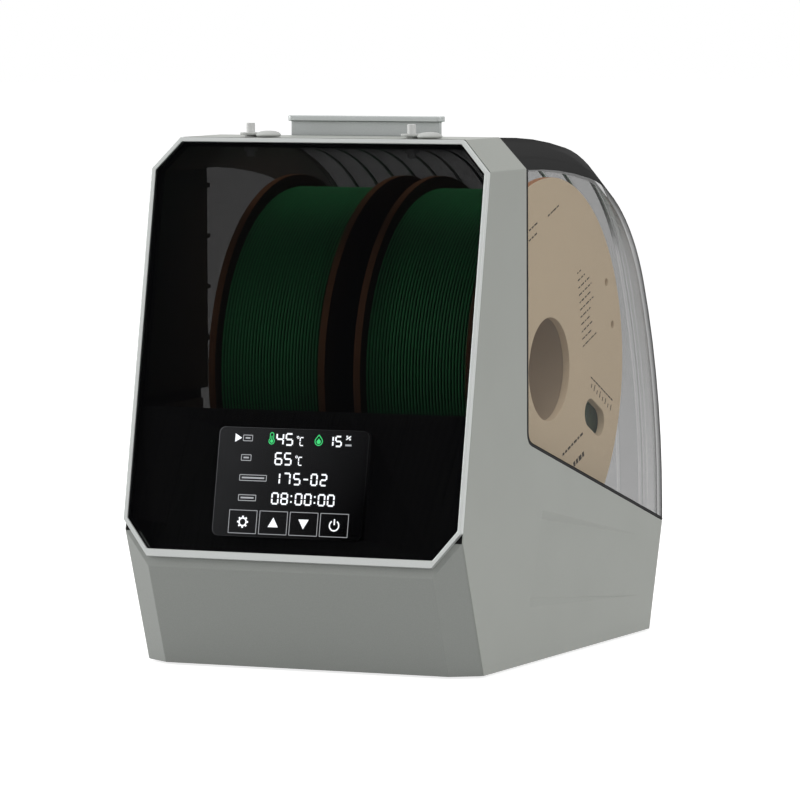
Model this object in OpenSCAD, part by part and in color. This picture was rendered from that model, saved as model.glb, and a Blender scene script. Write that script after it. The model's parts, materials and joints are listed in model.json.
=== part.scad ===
// Filament dryer box for two one-kilogram spools: a heated lower housing, a fixed tinted front panel,
// a smoked hood that swings up on a rear hinge, and two spools that turn on rollers.
// X runs across the box, +Y to the rear and +Z up. Pieces are drawn with Y from the nose line, the
// front-most edge, and Z from the underside of the housing, and place() moves them to the shared origin.

/* [Spools] */
// Spool diameter
spool_d = 200; // [180:1:210]
// Spool width over its flanges
spool_w = 66.5; // [62:0.5:74]
// Gap between the two spools
spool_gap = 16; // [12:1:20]
// How far the pair of spools stands to the right of the middle
spool_shift = 3.6; // [0:0.1:4]
// Bore of the spools
spool_bore_d = 54; // [50:1:58]
// Thickness of each cardboard flange
flange_t = 4; // [3:0.5:6]
// Outer diameter of the cardboard core
core_d = 82; // [76:1:100]
// Depth of the winding's surface below the edge of the flanges
winding_in = 6.5; // [5:0.5:25]
// Radius of the filament end holes in the flange
tie_hole_r = 2; // [1.5:0.1:3]
// Length of the sight slot in the flange, between the centres of its round ends
sight_slot_l = 13; // [8:1:16]
// Radius of the sight slot's round ends
sight_slot_r = 7.5; // [3:0.5:8]
// Distance of the sight slot from the spool axis
sight_slot_at = 68; // [64:1:72]

/* [Body] */
// Distance from each spool to the outside of the box's side
side_clear = 20; // [19:0.5:24]
// Distance from the nose line to the spools
front_clear = 54.5; // [50:0.5:60]
// Distance from the spools to the outside of the rear wall
rear_clear = 32.5; // [29:0.5:45]
// Distance from the top of the spools to the top of the front strip
head_clear = 23; // [21:0.5:32]
// Height of the nose line above the underside
nose_h = 57; // [50:1:62]
// Setback of the lower front edge behind the nose line
nose_setback = 21; // [12:1:28]
// Setback of the upper front edge behind the nose line
front_setback = 41.5; // [36:0.5:44]
// Y of the rear edge of the front strip, where the hood begins
strip_rear = 87; // [84:1:92]
// Height of the split line at the front strip
split_front_h = 113; // [104:1:118]
// Height of the split line at the rear wall
split_rear_h = 52; // [48:1:58]
// Radius of the split line's corner at the strip
split_corner_r = 8; // [4:1:12]
// Setback of the lower rear edge
rear_setback = 17; // [10:1:22]
// Width of the corner chamfers
chamfer_x = 15; // [12:0.5:15]
// Depth of the top and rear corner chamfers
chamfer_z = 16; // [12:0.5:17]
// Height of the lower corner chamfers on the front panel
nose_chamfer = 18; // [14:0.5:22]
// Wall of the housing and nose cover
wall = 2.5; // [2:0.1:3]

/* [Grip recesses] */
// Depth of the recess at its front end
grip_depth = 2.2; // [1:0.1:2.2]
// Y of the recess's front edge at its top
grip_front = 107; // [100:1:120]
// Y where the recess fades out
grip_rear = 222; // [190:1:235]
// Height of the recess's top edge at the front
grip_top = 77; // [68:1:82]
// Height of the recess's bottom edge at the front
grip_bottom = 29; // [22:1:36]
// Height of the sloped upper and lower walls of the recess
grip_slope = 4; // [2:0.5:6]

/* [Front panel] */
// Width of the bright bezel at the sides and top
bezel_w = 2.2; // [1.5:0.1:3]
// Width of the bezel's lower band
bezel_low_w = 3.8; // [2.5:0.1:5]
// Depth of the bezel ring
bezel_depth = 3; // [3:0.1:4]
// Thickness of the tinted panel
panel_t = 2.6; // [2:0.1:2.8]
// Width of the lip that the panel is bonded to
lip_w = 1.5; // [1.2:0.1:3]
// Thickness of the opaque backing sheet
backing_t = 1; // [0.6:0.1:1.5]
// Height of the clear window's lower edge, along the panel
window_low = 77; // [74:1:84]
// Width of the display and key area
display_w = 84; // [70:1:90]
// Centre of the display from the middle of the panel
display_x = -2; // [-10:1:10]
// Lower edge of the touch keys, along the panel
keys_low = 13; // [11:0.5:16]
// Height of the touch key board
keys_h = 17; // [14:0.5:18]
// Height of the display module
display_h = 36; // [30:1:38]
// Thickness of the display module
display_t = 6; // [4:0.5:9]
// Side of one touch key
key_size = 15; // [10:0.5:16]
// Distance between touch keys
key_pitch = 17; // [16:0.5:19]

/* [Hood] */
// Wall of the hood
hood_t = 2.5; // [2:0.1:3]
// Step down from the strip to the hood
hood_drop = 0.5; // [0.3:0.1:2.5]
// Turn of the hood's flat top arc, in degrees
top_turn = 10; // [8:1:18]
// Radius of the hood's corner arc at its side edge, over that of the spools
corner_over = 1; // [0:0.5:12]
// Turn of the corner arc, in degrees
corner_turn = 55.5; // [52:0.5:60]
// Radius of the hood's back arc at its side edge
back_r = 292; // [270:2:330]
// Number of the grooves that run from front to back inside the hood
hood_grooves = 13; // [7:2:17]
// Distance between the grooves
groove_pitch = 12.7; // [9:0.1:13]
// Width of each groove
groove_w = 1.4; // [0.8:0.1:2]
// Depth of each groove
groove_h = 0.6; // [0.3:0.1:1.2]
// Thickness of the seal on the hood's edge
seal_t = 0.9; // [0.5:0.1:1.5]
// Gap between the seal and the housing
seal_gap = 0.3; // [0.2:0.05:0.6]
// Height of the tray's rim above the split line
rim_h = 3; // [2:0.5:5]
// Reach of the seat frame under the hood's front edge
seat_reach = 5; // [3:0.5:8]
// Number of clips on each side of the seat frame
seat_clips = 4; // [2:1:5]
// Distance between the clips
clip_pitch = 26.5; // [20:0.5:30]

/* [Handle] */
// Length of the handle's grip plate
handle_w = 88; // [70:1:120]
// Depth of the grip plate
handle_d = 7.2; // [6.4:0.2:14]
// Thickness of the grip plate
handle_t = 2.8; // [1.8:0.1:3.5]
// Height of the web under the grip plate
handle_web_h = 7.7; // [5:0.1:12]
// Overhang of the grip plate round its web
handle_lip = 1.9; // [1.2:0.1:2.2]
// Y of the web's front face behind the strip
handle_back = 8.2; // [6:0.1:20]

/* [Hinge] */
// Radius of the hinge barrels
barrel_r = 4.5; // [4:0.1:5.5]
// Radius of the hinge pins
hinge_pin_r = 1.5; // [1.2:0.1:2]
// Distance of each hinge from the middle
hinge_x = 52; // [40:1:60]
// Length of the hood's barrel in each hinge
hood_barrel_l = 16; // [10:1:20]
// Length of each of the housing's barrels
base_barrel_l = 8; // [6:0.5:10]
// Height of the hinge leaves on the rear wall
leaf_h = 14; // [10:1:18]
// Thickness of the hood's hinge leaf
leaf_t = 2.4; // [1.8:0.1:3.5]

/* [Rollers] */
// Roller radius at the treads
roller_r = 11; // [9:0.5:12]
// Radius of the waist between the treads
waist_r = 9; // [8.5:0.1:9.5]
// Distance between the front and rear roller axes
roller_span = 104; // [98:1:120]
// Overhang of a roller past the spool's flanges
roller_over = 1.5; // [1:0.5:2]
// Clearance of the treads above the tray's floor
roller_clear = 3.6; // [2:0.1:8]
// Width of each tread
tread_w = 12; // [8:1:16]
// Radius of the roller axles
axle_r = 2.5; // [2:0.1:3]
// Outer radius of the ball bearings
bearing_r = 6.5; // [6:0.1:7.5]
// Width of the ball bearings
bearing_w = 4; // [3:0.5:5]
// Thickness of the ears that hold the axles
ear_t = 3; // [2:0.5:4]

/* [Chamber tray] */
// Height of the tray's floor above the underside
floor_h = 33; // [31.5:0.5:34]
// Wall of the tray
tray_t = 1.8; // [1.4:0.1:2.4]
// Clearance from the tray's front wall at the floor to the front of the spools
tray_clear = 0.5; // [0.3:0.1:4]
// Length of the air opening, across the box
grille_l = 104; // [84:1:120]
// Depth of the air opening
grille_d = 66; // [50:1:70]
// Width of the grille's bars
grille_bar = 2.4; // [1.6:0.2:3.5]
// Number of slots in the grille
grille_slots = 9; // [5:1:12]

/* [Heating] */
// Side of the square fan frame
fan_side = 80; // [70:1:84]
// Thickness of the fan frame
fan_t = 14; // [10:1:14.5]
// Radius of the fan's air duct
fan_duct_r = 37; // [28:0.5:38]
// Radius of the fan hub
fan_hub_r = 15; // [10:0.5:20]
// Number of fan blades
fan_blades = 7; // [5:1:9]
// Height of the heater block
heater_h = 9; // [6:0.5:9]
// Length of the control board
control_board_d = 74; // [60:1:80]
// Length of the power board
power_board_d = 80; // [60:1:82]
// Number of the heater's fins
heater_fins = 15; // [8:1:20]

/* [Power] */
// Width of the inlet's flange
inlet_w = 31; // [28:0.5:34]
// Height of the inlet's flange
inlet_h = 24; // [22:0.5:25]
// Depth of the inlet's body behind the wall
inlet_depth = 18; // [16:0.5:22]
// Distance from the middle of the inlet to the side of the box
inlet_side = 36.5; // [33:0.5:44]
// Distance between the middles of the inlet and the switch
switch_pitch = 32; // [28:0.5:36]
// Width of the switch's flange
switch_w = 15; // [13:0.5:20]
// Height of the switch's flange
switch_h = 21; // [19:0.5:24]
// Tilt of the rocker to each side, in degrees
rocker_tilt = 9; // [5:1:12]

/* [Outlets] */
// Distance of each filament outlet from the middle
outlet_x = 45.3; // [40:0.1:55]
// Y of the outlets
outlet_y = 54; // [52:0.5:60]
// Outer radius of the outlet tube
outlet_r = 2.2; // [1.9:0.1:3]
// Bore radius of the outlet tube
outlet_bore_r = 1.1; // [0.95:0.05:1.4]
// Height of the outlet above the strip
outlet_h = 7.2; // [5:0.1:10]
// Radius of the outlet's collar
collar_r = 5.4; // [4.5:0.1:6.5]
// Radius of the silicone cap
cap_r = 6.5; // [5.5:0.1:8]
// Height of the silicone cap
cap_h = 3; // [2.5:0.1:4]
// Distance of the cap from its outlet
cap_at = 10; // [10:0.5:14]

/* [Base] */
// Height of the rubber feet below the housing
foot_h = 1.2; // [0.8:0.1:4]
// Radius of the feet
foot_r = 8; // [5:0.5:10]
// Thickness of the base plate
plate_t = 2.5; // [2:0.1:3]
// Length of the screws
screw_l = 9; // [7:0.5:11]
// Distance of the feet from the side walls
foot_inset_x = 26; // [22:1:34]
// Distance of the front and rear feet from the ends of the underside
foot_inset_y = 24; // [20:1:40]
// Radius of the screw shanks
screw_r = 1.5; // [1.2:0.1:1.8]
// Radius of the screw heads
screw_head_r = 2.9; // [2.5:0.1:3.2]
// Radius of the screw posts
post_r = 4; // [3.5:0.1:5]
// Number of cooling slots in the base plate
vent_slots = 9; // [5:1:11]

/* [Hidden] */

$fn = 64;
fit = 0.15; // clearance between pieces that stay still
run = 0.3; // clearance between pieces that move past each other
journal = 0.05; // radial clearance of a shaft in its bore
far = 400; // longer than anything in the box
arc_steps = [4, 14, 7]; // chords along each arc of the hood

// spools on their rollers
spool_r = spool_d / 2;
spool_bore_r = spool_bore_d / 2;
spool_pitch = spool_w + spool_gap;
roller_z = floor_h + roller_clear + roller_r;
spool_y = front_clear + spool_r;
spool_z = roller_z + sqrt(pow(spool_r + run + roller_r, 2) - pow(roller_span / 2, 2));
tie_hole_angles = [28, 12]; // above the level line through the axis, towards the rear
sight_slot_angle = -26;
roller_l = spool_w + 2 * roller_over;
ear_x = spool_pitch / 2 + roller_l / 2 + run + ear_t / 2;

// body round the spools
body_w = 2 * spool_w + spool_gap + 2 * side_clear;
body_d = spool_y + spool_r + rear_clear;
body_h = spool_z + spool_r + head_clear;
half_w = body_w / 2;
lean = atan(front_setback / (body_h - nose_h));
panel_l = norm([front_setback, body_h - nose_h]);
rear_lean = atan(rear_setback / split_rear_h);
split_slope = (split_front_h - split_rear_h) / (body_d - strip_rear);
underside_l = body_d - rear_setback - nose_setback;

// hood, side edge profile: three tangent arcs from the strip to the rear wall
hood_top = body_h - hood_drop;
edge_run = body_d - chamfer_z - strip_rear;
arc_end = top_turn + corner_turn;
corner_r = spool_r + corner_over;
top_r = (edge_run - corner_r * (sin(arc_end) - sin(top_turn)) - back_r * (1 - sin(arc_end))) / sin(top_turn);
hood_gap = seal_gap + seal_t;

// hinge axis
hinge_y = body_d + barrel_r + run;
hinge_z = split_rear_h;
overall_d = hinge_y + barrel_r;

// rear wall fittings
inlet_x = half_w - inlet_side;
switch_x = inlet_x - switch_pitch;
inlet_lip = 2; // cover of the flange round its opening
socket_wall = 2;
inlet_flange_t = 1.8;
switch_lip = 1.2;
switch_flange_t = 1.6;
rocker_in = 2; // depth of the rocker's axis below the wall's face
rocker_pin_r = 0.9;

// stack under the tray
fan_z = plate_t + 1;
heater_z = fan_z + fan_t;
fan_y = spool_y;
power_z = plate_t + inlet_h / 2; // up the rear wall

// circuit boards beside the fan
board_z = 6;
board_gap = 5;
board_w = half_w - wall - fan_side / 2 - 2 * board_gap;

function unit(v) = v / norm(v);

// Polygon with each edge i, from point i to the next, moved inwards by ts[i]; points run anticlockwise
function inset_each(p, ts) = [
    for (i = [0:len(p) - 1])
        let (
            n = len(p),
            u = unit(p[i] - p[(i + n - 1) % n]),
            v = unit(p[(i + 1) % n] - p[i]),
            nu = [-u.y, u.x],
            nv = [-v.y, v.x],
            c = nu * nv,
            t1 = ts[(i + n - 1) % n],
            t2 = ts[i]
        )
        p[i] + (t1 * (nu - c * nv) + t2 * (nv - c * nu)) / (1 - c * c)
];

function inset_all(p, t) = inset_each(p, [for (q = p) t]);

// Points of an arc of radius r that rounds corner b of the path a, b, c
function rounded(a, b, c, r, n = 6) =
    let (
        u = unit(a - b),
        v = unit(c - b),
        half = acos(u * v) / 2,
        m = b + unit(u + v) * r / sin(half),
        start = b + u * r / tan(half) - m,
        turn = sign(u.x * v.y - u.y * v.x) * (180 - 2 * half)
    )
    [
        for (i = [0:n])
            let (k = -turn * i / n)
            m + [start.x * cos(k) - start.y * sin(k), start.x * sin(k) + start.y * cos(k)]
    ];

// Outline of the body from the side: underside, rear wall, a plain top corner, front panel and nose
side_outline = [
    [nose_setback, 0], [body_d - rear_setback, 0], [body_d, split_rear_h],
    [body_d, body_h], [front_setback, body_h], [0, nose_h]
];

// Outline of the body from the front, with its two top chamfers
front_outline = [
    [-half_w, -10], [half_w, -10], [half_w, body_h - chamfer_z], [half_w - chamfer_x, body_h],
    [-half_w + chamfer_x, body_h], [-half_w, body_h - chamfer_z]
];

// Outline of the front panel along its own plane
panel_outline = [
    [-half_w + chamfer_x, 0], [half_w - chamfer_x, 0], [half_w, nose_chamfer / cos(lean)],
    [half_w, panel_l - chamfer_z / cos(lean)], [half_w - chamfer_x, panel_l],
    [-half_w + chamfer_x, panel_l], [-half_w, panel_l - chamfer_z / cos(lean)],
    [-half_w, nose_chamfer / cos(lean)]
];

// The region of the hood from the side, moved inwards by t from the housing's edges
function hood_region(t) =
    let (
        low = [far, split_front_h - split_slope * (far - strip_rear)],
        p = inset_each([[strip_rear, split_front_h], low, [far, far], [strip_rear, far]], [t, 0, 0, t])
    )
    concat(rounded(p[3], p[0], p[1], split_corner_r - t), [p[1], p[2], p[3]]);

// Stations of the hood's side edge, as [y, z, heading]; heading turns from level to straight down
function arc_points(from, r, a0, a1, steps) = [
    for (i = [1:steps])
        let (a = a0 + (a1 - a0) * i / steps)
        [from.x + r * (sin(a) - sin(a0)), from.y - r * (cos(a0) - cos(a)), a]
];

hood_stations =
    let (
        start = [strip_rear, hood_top - chamfer_z, 0],
        top = arc_points(start, top_r, 0, top_turn, arc_steps[0]),
        corner = arc_points(top[arc_steps[0] - 1], corner_r, top_turn, arc_end, arc_steps[1]),
        back = arc_points(corner[arc_steps[1] - 1], back_r, arc_end, 90, arc_steps[2]),
        end = back[arc_steps[2] - 1],
        spare = 40
    )
    concat(
        [[start.x - spare, start.y, 0], start],
        top,
        corner,
        back,
        [[end.x, -spare, 90], [start.x - spare, -spare, 90]]
    );

// Section of the hood across its edge, as [x, outward offset], under a wall of thickness t
function hood_section(t, grooves) =
    let (
        side = atan2(chamfer_x, chamfer_z),
        x1 = half_w - t,
        d1 = -t * tan(side / 2),
        x2 = half_w - chamfer_x - t * tan((90 - side) / 2),
        d2 = chamfer_z - t
    )
    concat(
        [[x1, d1], [x2, d2]],
        [
            for (i = [1:1:grooves], k = [1, 0, -1])
                [((grooves + 1) / 2 - i) * groove_pitch + k * groove_w / 2, d2 + (1 - abs(k)) * groove_h]
        ],
        [[-x2, d2], [-x1, d1]]
    );

module place() {
    translate([0, -overall_d / 2, foot_h]) children();
}

// Extrudes an outline given as [y, z] across the box, centred on the middle
module across(points, width) {
    translate([-width / 2, 0, 0]) rotate([90, 0, 90]) linear_extrude(width) polygon(points);
}

// Extrudes an outline given as [x, z] along Y
module along(points, y0, y1) {
    translate([0, y1, 0]) rotate([90, 0, 0]) linear_extrude(y1 - y0) polygon(points);
}

// Work plane of the front panel: x across, y up along the panel, z outwards, depth below its face
module on_panel(depth) {
    translate([0, 0, nose_h]) rotate([90 - lean, 0, 0]) translate([0, 0, -depth]) children();
}

// Work plane of the lower rear wall: x across, y up along the wall, z outwards
module on_rear(depth) {
    translate([0, body_d - rear_setback, 0]) rotate([90 - rear_lean, 0, 0]) mirror([0, 0, 1])
        translate([0, 0, -depth]) children();
}

// Half space beyond the plane through p with outward normal n, moved inwards by t
module beyond(p, n, t) {
    translate(p - t * unit(n)) rotate([0, acos(unit(n).z), atan2(n.y, n.x)])
        translate([-far, -far, 0]) cube([2 * far, 2 * far, far]);
}

// Everything behind the line from a to b, as seen from the side
module behind_line(a, b) {
    across([a, b, b + [far, 0], a + [far, 0]], 2 * far);
}

module lower_corner_cuts(t) {
    a = [half_w - chamfer_x, 0, nose_h];
    b = [half_w, nose_chamfer * tan(lean), nose_h + nose_chamfer];
    c = [half_w - chamfer_x, nose_setback, 0];
    d = [half_w - chamfer_x, body_d, split_rear_h];
    e = [half_w - chamfer_x, body_d - rear_setback, 0];
    f = [half_w, body_d - chamfer_z, split_rear_h + split_slope * chamfer_z];
    front = cross(c - a, b - a);
    rear = cross(f - d, e - d);
    for (side = [0, 1]) mirror([side, 0, 0]) {
        beyond(a, front, t);
        beyond(d, rear, t);
        beyond(d, [chamfer_z, chamfer_x, 0], t);
    }
}

// Body bounded by its outer faces moved inwards by t, by front_t at the panel and by low_t underneath
module body_block(t, front_t, low_t) {
    difference() {
        intersection() {
            across(inset_each(side_outline, [low_t, t, t, t, front_t, t]), 2 * (half_w - t));
            along(inset_each(front_outline, [0, t, t, t, t, t]), -10, far);
        }
        lower_corner_cuts(t);
    }
}

// Closed shell of the body with its window and open underside
module body_shell() {
    difference() {
        body_block(0, bezel_depth, 0);
        body_block(wall, bezel_depth + wall, -1);
        on_panel(far) linear_extrude(far + 1) polygon(inset_all(panel_outline, bezel_w + lip_w));
    }
}

nose_seam = [
    [nose_chamfer * tan(lean), nose_h + nose_chamfer],
    let (
        n = cross([0, nose_setback, -nose_h], [chamfer_x, nose_chamfer * tan(lean), nose_chamfer])
    )
    [(n.z * nose_h - n.x * chamfer_x) / n.y, 0]
];

// Point along the seam line, which is prolonged past both ends by seam_spare of its length
seam_spare = 6;
function seam_at(k) = nose_seam[0] + k * (nose_seam[1] - nose_seam[0]);

module grip_recess() {
    // wedge that is deepest at the front and fades out at grip_rear
    back_lean = nose_setback / nose_h;
    fall = (grip_top - grip_bottom) * 0.25;
    for (side = [0, 1]) mirror([side, 0, 0])
        hull() {
            for (h = [grip_bottom, grip_top])
                translate([half_w, grip_front - (grip_top - h) * back_lean, h]) cube([1, 0.1, 0.1]);
            for (h = [grip_bottom + grip_slope, grip_top - grip_slope])
                translate([half_w - grip_depth, grip_front + 1 - (grip_top - h) * back_lean, h])
                    cube([1, 0.1, 0.1]);
            for (h = [grip_bottom - 8, grip_top - fall - 10])
                translate([half_w, grip_rear, h]) cube([1, 0.1, 0.1]);
        }
}

module screw_post(h, bore) {
    difference() {
        cylinder(r = post_r, h = h);
        translate([0, 0, -1]) cylinder(r = bore, h = h);
    }
}

// Places at the four corners of the underside, inset_x from the sides, as [x, y]
function base_places(inset_x) = [
    for (x = [-1, 1], k = [0, 1])
        [x * (half_w - inset_x), nose_setback + foot_inset_y + k * (underside_l - 2 * foot_inset_y)]
];
foot_places = base_places(foot_inset_x);
screw_places = base_places(foot_inset_x + foot_r + post_r + 4);

// Block in the plane of the lower rear wall, smaller than a w by h flange by lip and clearance c
module wall_opening(x, w, h, lip, c, z0, z1) {
    on_rear(0) translate([x - w / 2 + lip + c, power_z - h / 2 + lip + c, z0])
        cube([w - 2 * (lip + c), h - 2 * (lip + c), z1 - z0]);
}

module main_housing() {
    color([0.6, 0.61, 0.58])
        place()
            difference() {
                intersection() {
                    body_shell();
                    behind_line(seam_at(-seam_spare), seam_at(seam_spare));
                }
                across(hood_region(0), 2 * far);
                grip_recess();
                for (side = [-1, 1]) translate([side * outlet_x, outlet_y, body_h - wall - 1])
                    cylinder(r = outlet_r + fit, h = wall + 2);
                wall_opening(inlet_x, inlet_w, inlet_h, inlet_lip, 0, -wall - 2, 2);
                wall_opening(switch_x, switch_w, switch_h, switch_lip, 0, -wall - 2, 2);
            }
}

module nose_cover() {
    color([0.55, 0.56, 0.54])
        place()
            difference() {
                body_shell();
                behind_line(seam_at(-seam_spare) - [fit, 0], seam_at(seam_spare) - [fit, 0]);
            }
}

module front_bezel() {
    color([0.82, 0.83, 0.82])
        place()
            intersection() {
                on_panel(bezel_depth) linear_extrude(bezel_depth)
                    difference() {
                        polygon(panel_outline);
                        polygon(inset_each(panel_outline, [bezel_low_w, for (i = [1:7]) bezel_w]));
                    }
                body_block(0, 0, 0);
            }
}

module front_panel() {
    color([0.04, 0.04, 0.05])
        place()
            on_panel(bezel_depth) linear_extrude(panel_t)
                polygon(inset_each(panel_outline, [bezel_low_w + fit, for (i = [1:7]) bezel_w + fit]));
}

module display_cutout(margin) {
    translate([display_x - display_w / 2 - margin, keys_low - margin])
        square([display_w + 2 * margin, keys_h + display_h + 1 + 2 * margin]);
}

module panel_backing() {
    color([0.03, 0.03, 0.03])
        place()
            on_panel(bezel_depth + backing_t) linear_extrude(backing_t)
                difference() {
                    polygon(inset_all(panel_outline, bezel_w + lip_w + fit));
                    translate([-far / 2, window_low]) square(far);
                    display_cutout(fit);
                }
}

module display_module() {
    color([0.09, 0.1, 0.11])
        place()
            on_panel(bezel_depth + display_t)
                translate([display_x - display_w / 2, keys_low + keys_h + 1, 0]) {
                    cube([display_w, display_h, display_t]);
                    translate([6, 4, -3]) cube([display_w - 12, display_h - 8, 3]);
                }
}

module touch_board() {
    board_t = 1.6;
    color([0.1, 0.3, 0.15])
        place()
            on_panel(bezel_depth + display_t)
                translate([display_x, keys_low, 0]) {
                    translate([-display_w / 2, 0, 0]) cube([display_w, keys_h, board_t]);
                    for (i = [-1.5:1.5]) translate([i * key_pitch, keys_h / 2, 0])
                        cylinder(r = key_size / 3, h = display_t);
                }
}

// Slice of the body block, moved inwards by t, between y0 and y1 and above low
module block_slice(t, front_t, y0, y1, low) {
    intersection() {
        body_block(t, front_t, -1);
        translate([-far, y0, low]) cube([2 * far, y1 - y0, far]);
    }
}

// Black frame that lines the strip and carries the hood's front edge
module hood_seat_frame() {
    step_in = wall + hood_drop + run;
    front = bezel_depth + wall + fit;
    low = window_low * cos(lean) + nose_h + 4;
    clip = [tray_t, 3.5, 2.5];
    clip_top = body_h - chamfer_z - 12;
    color([0.05, 0.05, 0.05])
        place()
            difference() {
                union() {
                    block_slice(wall + fit, front, 0, strip_rear - fit, low);
                    block_slice(step_in, front, strip_rear - seat_reach, strip_rear + seat_reach, low);
                    for (side = [0, 1], k = [0:seat_clips - 1])
                        mirror([side, 0, 0])
                            translate([half_w - step_in - clip.x, strip_rear, clip_top - k * clip_pitch])
                                cube([clip.x, seat_reach + clip.y, clip.z]);
                }
                body_block(step_in + tray_t, 0, -1);
                for (side = [-1, 1]) translate([side * outlet_x, outlet_y, body_h - chamfer_z])
                    cylinder(r = outlet_r + fit, h = 2 * chamfer_z);
            }
}

module base_plate() {
    vent = [3, 44];
    vent_pitch = 7;
    color([0.2, 0.2, 0.2])
        place()
            difference() {
                intersection() {
                    body_block(wall + fit, wall, 0);
                    translate([-far, -far, 0]) cube([2 * far, 2 * far, plate_t]);
                }
                for (p = screw_places) translate([p.x, p.y, -1]) {
                    cylinder(r = screw_r + fit, h = plate_t + 2);
                    cylinder(r = screw_head_r + fit, h = 1 + plate_t / 2);
                }
                for (p = foot_places) translate([p.x, p.y, -1])
                    cylinder(r = foot_r + fit, h = 1 + plate_t / 2);
                for (i = [0:vent_slots - 1])
                    translate([(i - (vent_slots - 1) / 2) * vent_pitch - vent.x / 2, fan_y - vent.y / 2, -1])
                        cube([vent.x, vent.y, plate_t + 2]);
            }
}

module feet() {
    color([0.1, 0.1, 0.1])
        place()
            for (p = foot_places) translate([p.x, p.y, 0]) {
                translate([0, 0, -foot_h]) cylinder(r1 = foot_r - 1, r2 = foot_r, h = foot_h);
                cylinder(r = foot_r, h = plate_t / 2);
            }
}

module base_screws() {
    color([0.7, 0.7, 0.72])
        place()
            for (p = screw_places) translate([p.x, p.y, 0])
                difference() {
                    union() {
                        translate([0, 0, 0.3]) cylinder(r = screw_head_r, h = plate_t / 2 - 0.3);
                        translate([0, 0, plate_t / 2]) cylinder(r = screw_r, h = screw_l);
                    }
                    for (a = [0, 90]) rotate([0, 0, a]) translate([-2, -0.35, 0]) cube([4, 0.7, 0.9]);
                }
}

// Outline of the tray from the side; its first three edges are the front wall and floor
tray_top = nose_h + window_low * cos(lean) - 1;
tray_front = front_clear - tray_clear;
tray_outline = [
    [(tray_top - nose_h) * tan(lean) + (bezel_depth + wall + fit) / cos(lean) + 1, tray_top],
    [tray_front - 8, split_front_h - 6],
    [tray_front, floor_h - tray_t],
    [far, floor_h - tray_t],
    [far, split_front_h + rim_h - split_slope * (far - strip_rear)],
    [strip_rear, split_front_h + rim_h],
    [strip_rear, tray_top]
];

// Liner of the chamber; the moving hood passes its rim
module chamber_tray() {
    t = wall + run;
    return_slots = 7;
    return_y = spool_y + roller_span / 2 + roller_r + 12;
    slot_pitch = 6;
    above = 30; // the hollow passes the tray's open top by this
    walls = [tray_t, tray_t, tray_t, 0, -above, -above, -above];
    color([0.06, 0.06, 0.06])
        place()
            difference() {
                union() {
                    difference() {
                        intersection() {
                            body_block(t, bezel_depth + t, 0);
                            across(tray_outline, far);
                        }
                        intersection() {
                            body_block(t + tray_t, 0, 0);
                            across(inset_each(tray_outline, walls), far);
                        }
                    }
                    for (p = screw_places) translate([p.x, p.y, plate_t])
                        cylinder(r = post_r, h = floor_h - tray_t - plate_t + 0.01);
                }
                for (p = screw_places) translate([p.x, p.y, 0])
                    cylinder(r = screw_r, h = plate_t + screw_l + 3);
                translate([-grille_l / 2 - fit, fan_y - grille_d / 2 - fit, floor_h - 10])
                    cube([grille_l + 2 * fit, grille_d + 2 * fit, 20]);
                for (side = [-1, 1], k = [0:return_slots - 1])
                    translate([side * (ear_x - 12 - k * slot_pitch) - grille_bar / 2, return_y, floor_h - 10])
                        cube([grille_bar, 16, 20]);
            }
}

module air_grille() {
    pitch = (grille_l - grille_bar) / grille_slots;
    color([0.08, 0.08, 0.08])
        place()
            translate([0, fan_y, floor_h - tray_t]) {
                difference() {
                    translate([-grille_l / 2, -grille_d / 2, 0]) cube([grille_l, grille_d, tray_t]);
                    for (i = [0:grille_slots - 1])
                        translate([-grille_l / 2 + grille_bar + i * pitch, -grille_d / 2 + grille_bar, -1])
                            cube([pitch - grille_bar, grille_d - 2 * grille_bar, tray_t + 2]);
                }
            }
}

module heater_block() {
    w = fan_side - 4;
    d = grille_d - 6;
    pitch = (w - 3) / heater_fins;
    color([0.75, 0.75, 0.76])
        place()
            translate([-w / 2, fan_y - d / 2, heater_z]) {
                for (y = [0, d - 5]) translate([0, y, 0]) cube([w, 5, heater_h]);
                for (i = [0:heater_fins]) translate([1 + i * pitch, 0, 0.5]) cube([1, d, heater_h - 1]);
                translate([0, d / 2 - 2, 1]) cube([w, 4, heater_h - 2]);
            }
}

module fan_frame() {
    hole_at = fan_side / 2 - 4.5;
    color([0.12, 0.12, 0.12])
        place()
            translate([0, fan_y, plate_t]) difference() {
                union() {
                    translate([-fan_side / 2, -fan_side / 2, 1]) cube([fan_side, fan_side, fan_t]);
                    for (x = [-1, 1], y = [-1, 1]) translate([x * hole_at, y * hole_at, 0])
                        cylinder(r = 4, h = 2);
                }
                translate([0, 0, 2.5]) cylinder(r = fan_duct_r, h = fan_t);
                difference() {
                    cylinder(r = fan_duct_r, h = 4);
                    cylinder(r = fan_hub_r, h = 5);
                    for (a = [0, 120, 240]) rotate([0, 0, a]) translate([0, -1.5, 0])
                        cube([fan_duct_r + 1, 3, 5]);
                }
                for (x = [-1, 1], y = [-1, 1]) translate([x * hole_at, y * hole_at, -1])
                    cylinder(r = 1.8, h = fan_t + 3);
                translate([0, 0, -1]) cylinder(r = 1.5 + journal, h = 8);
            }
}

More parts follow.
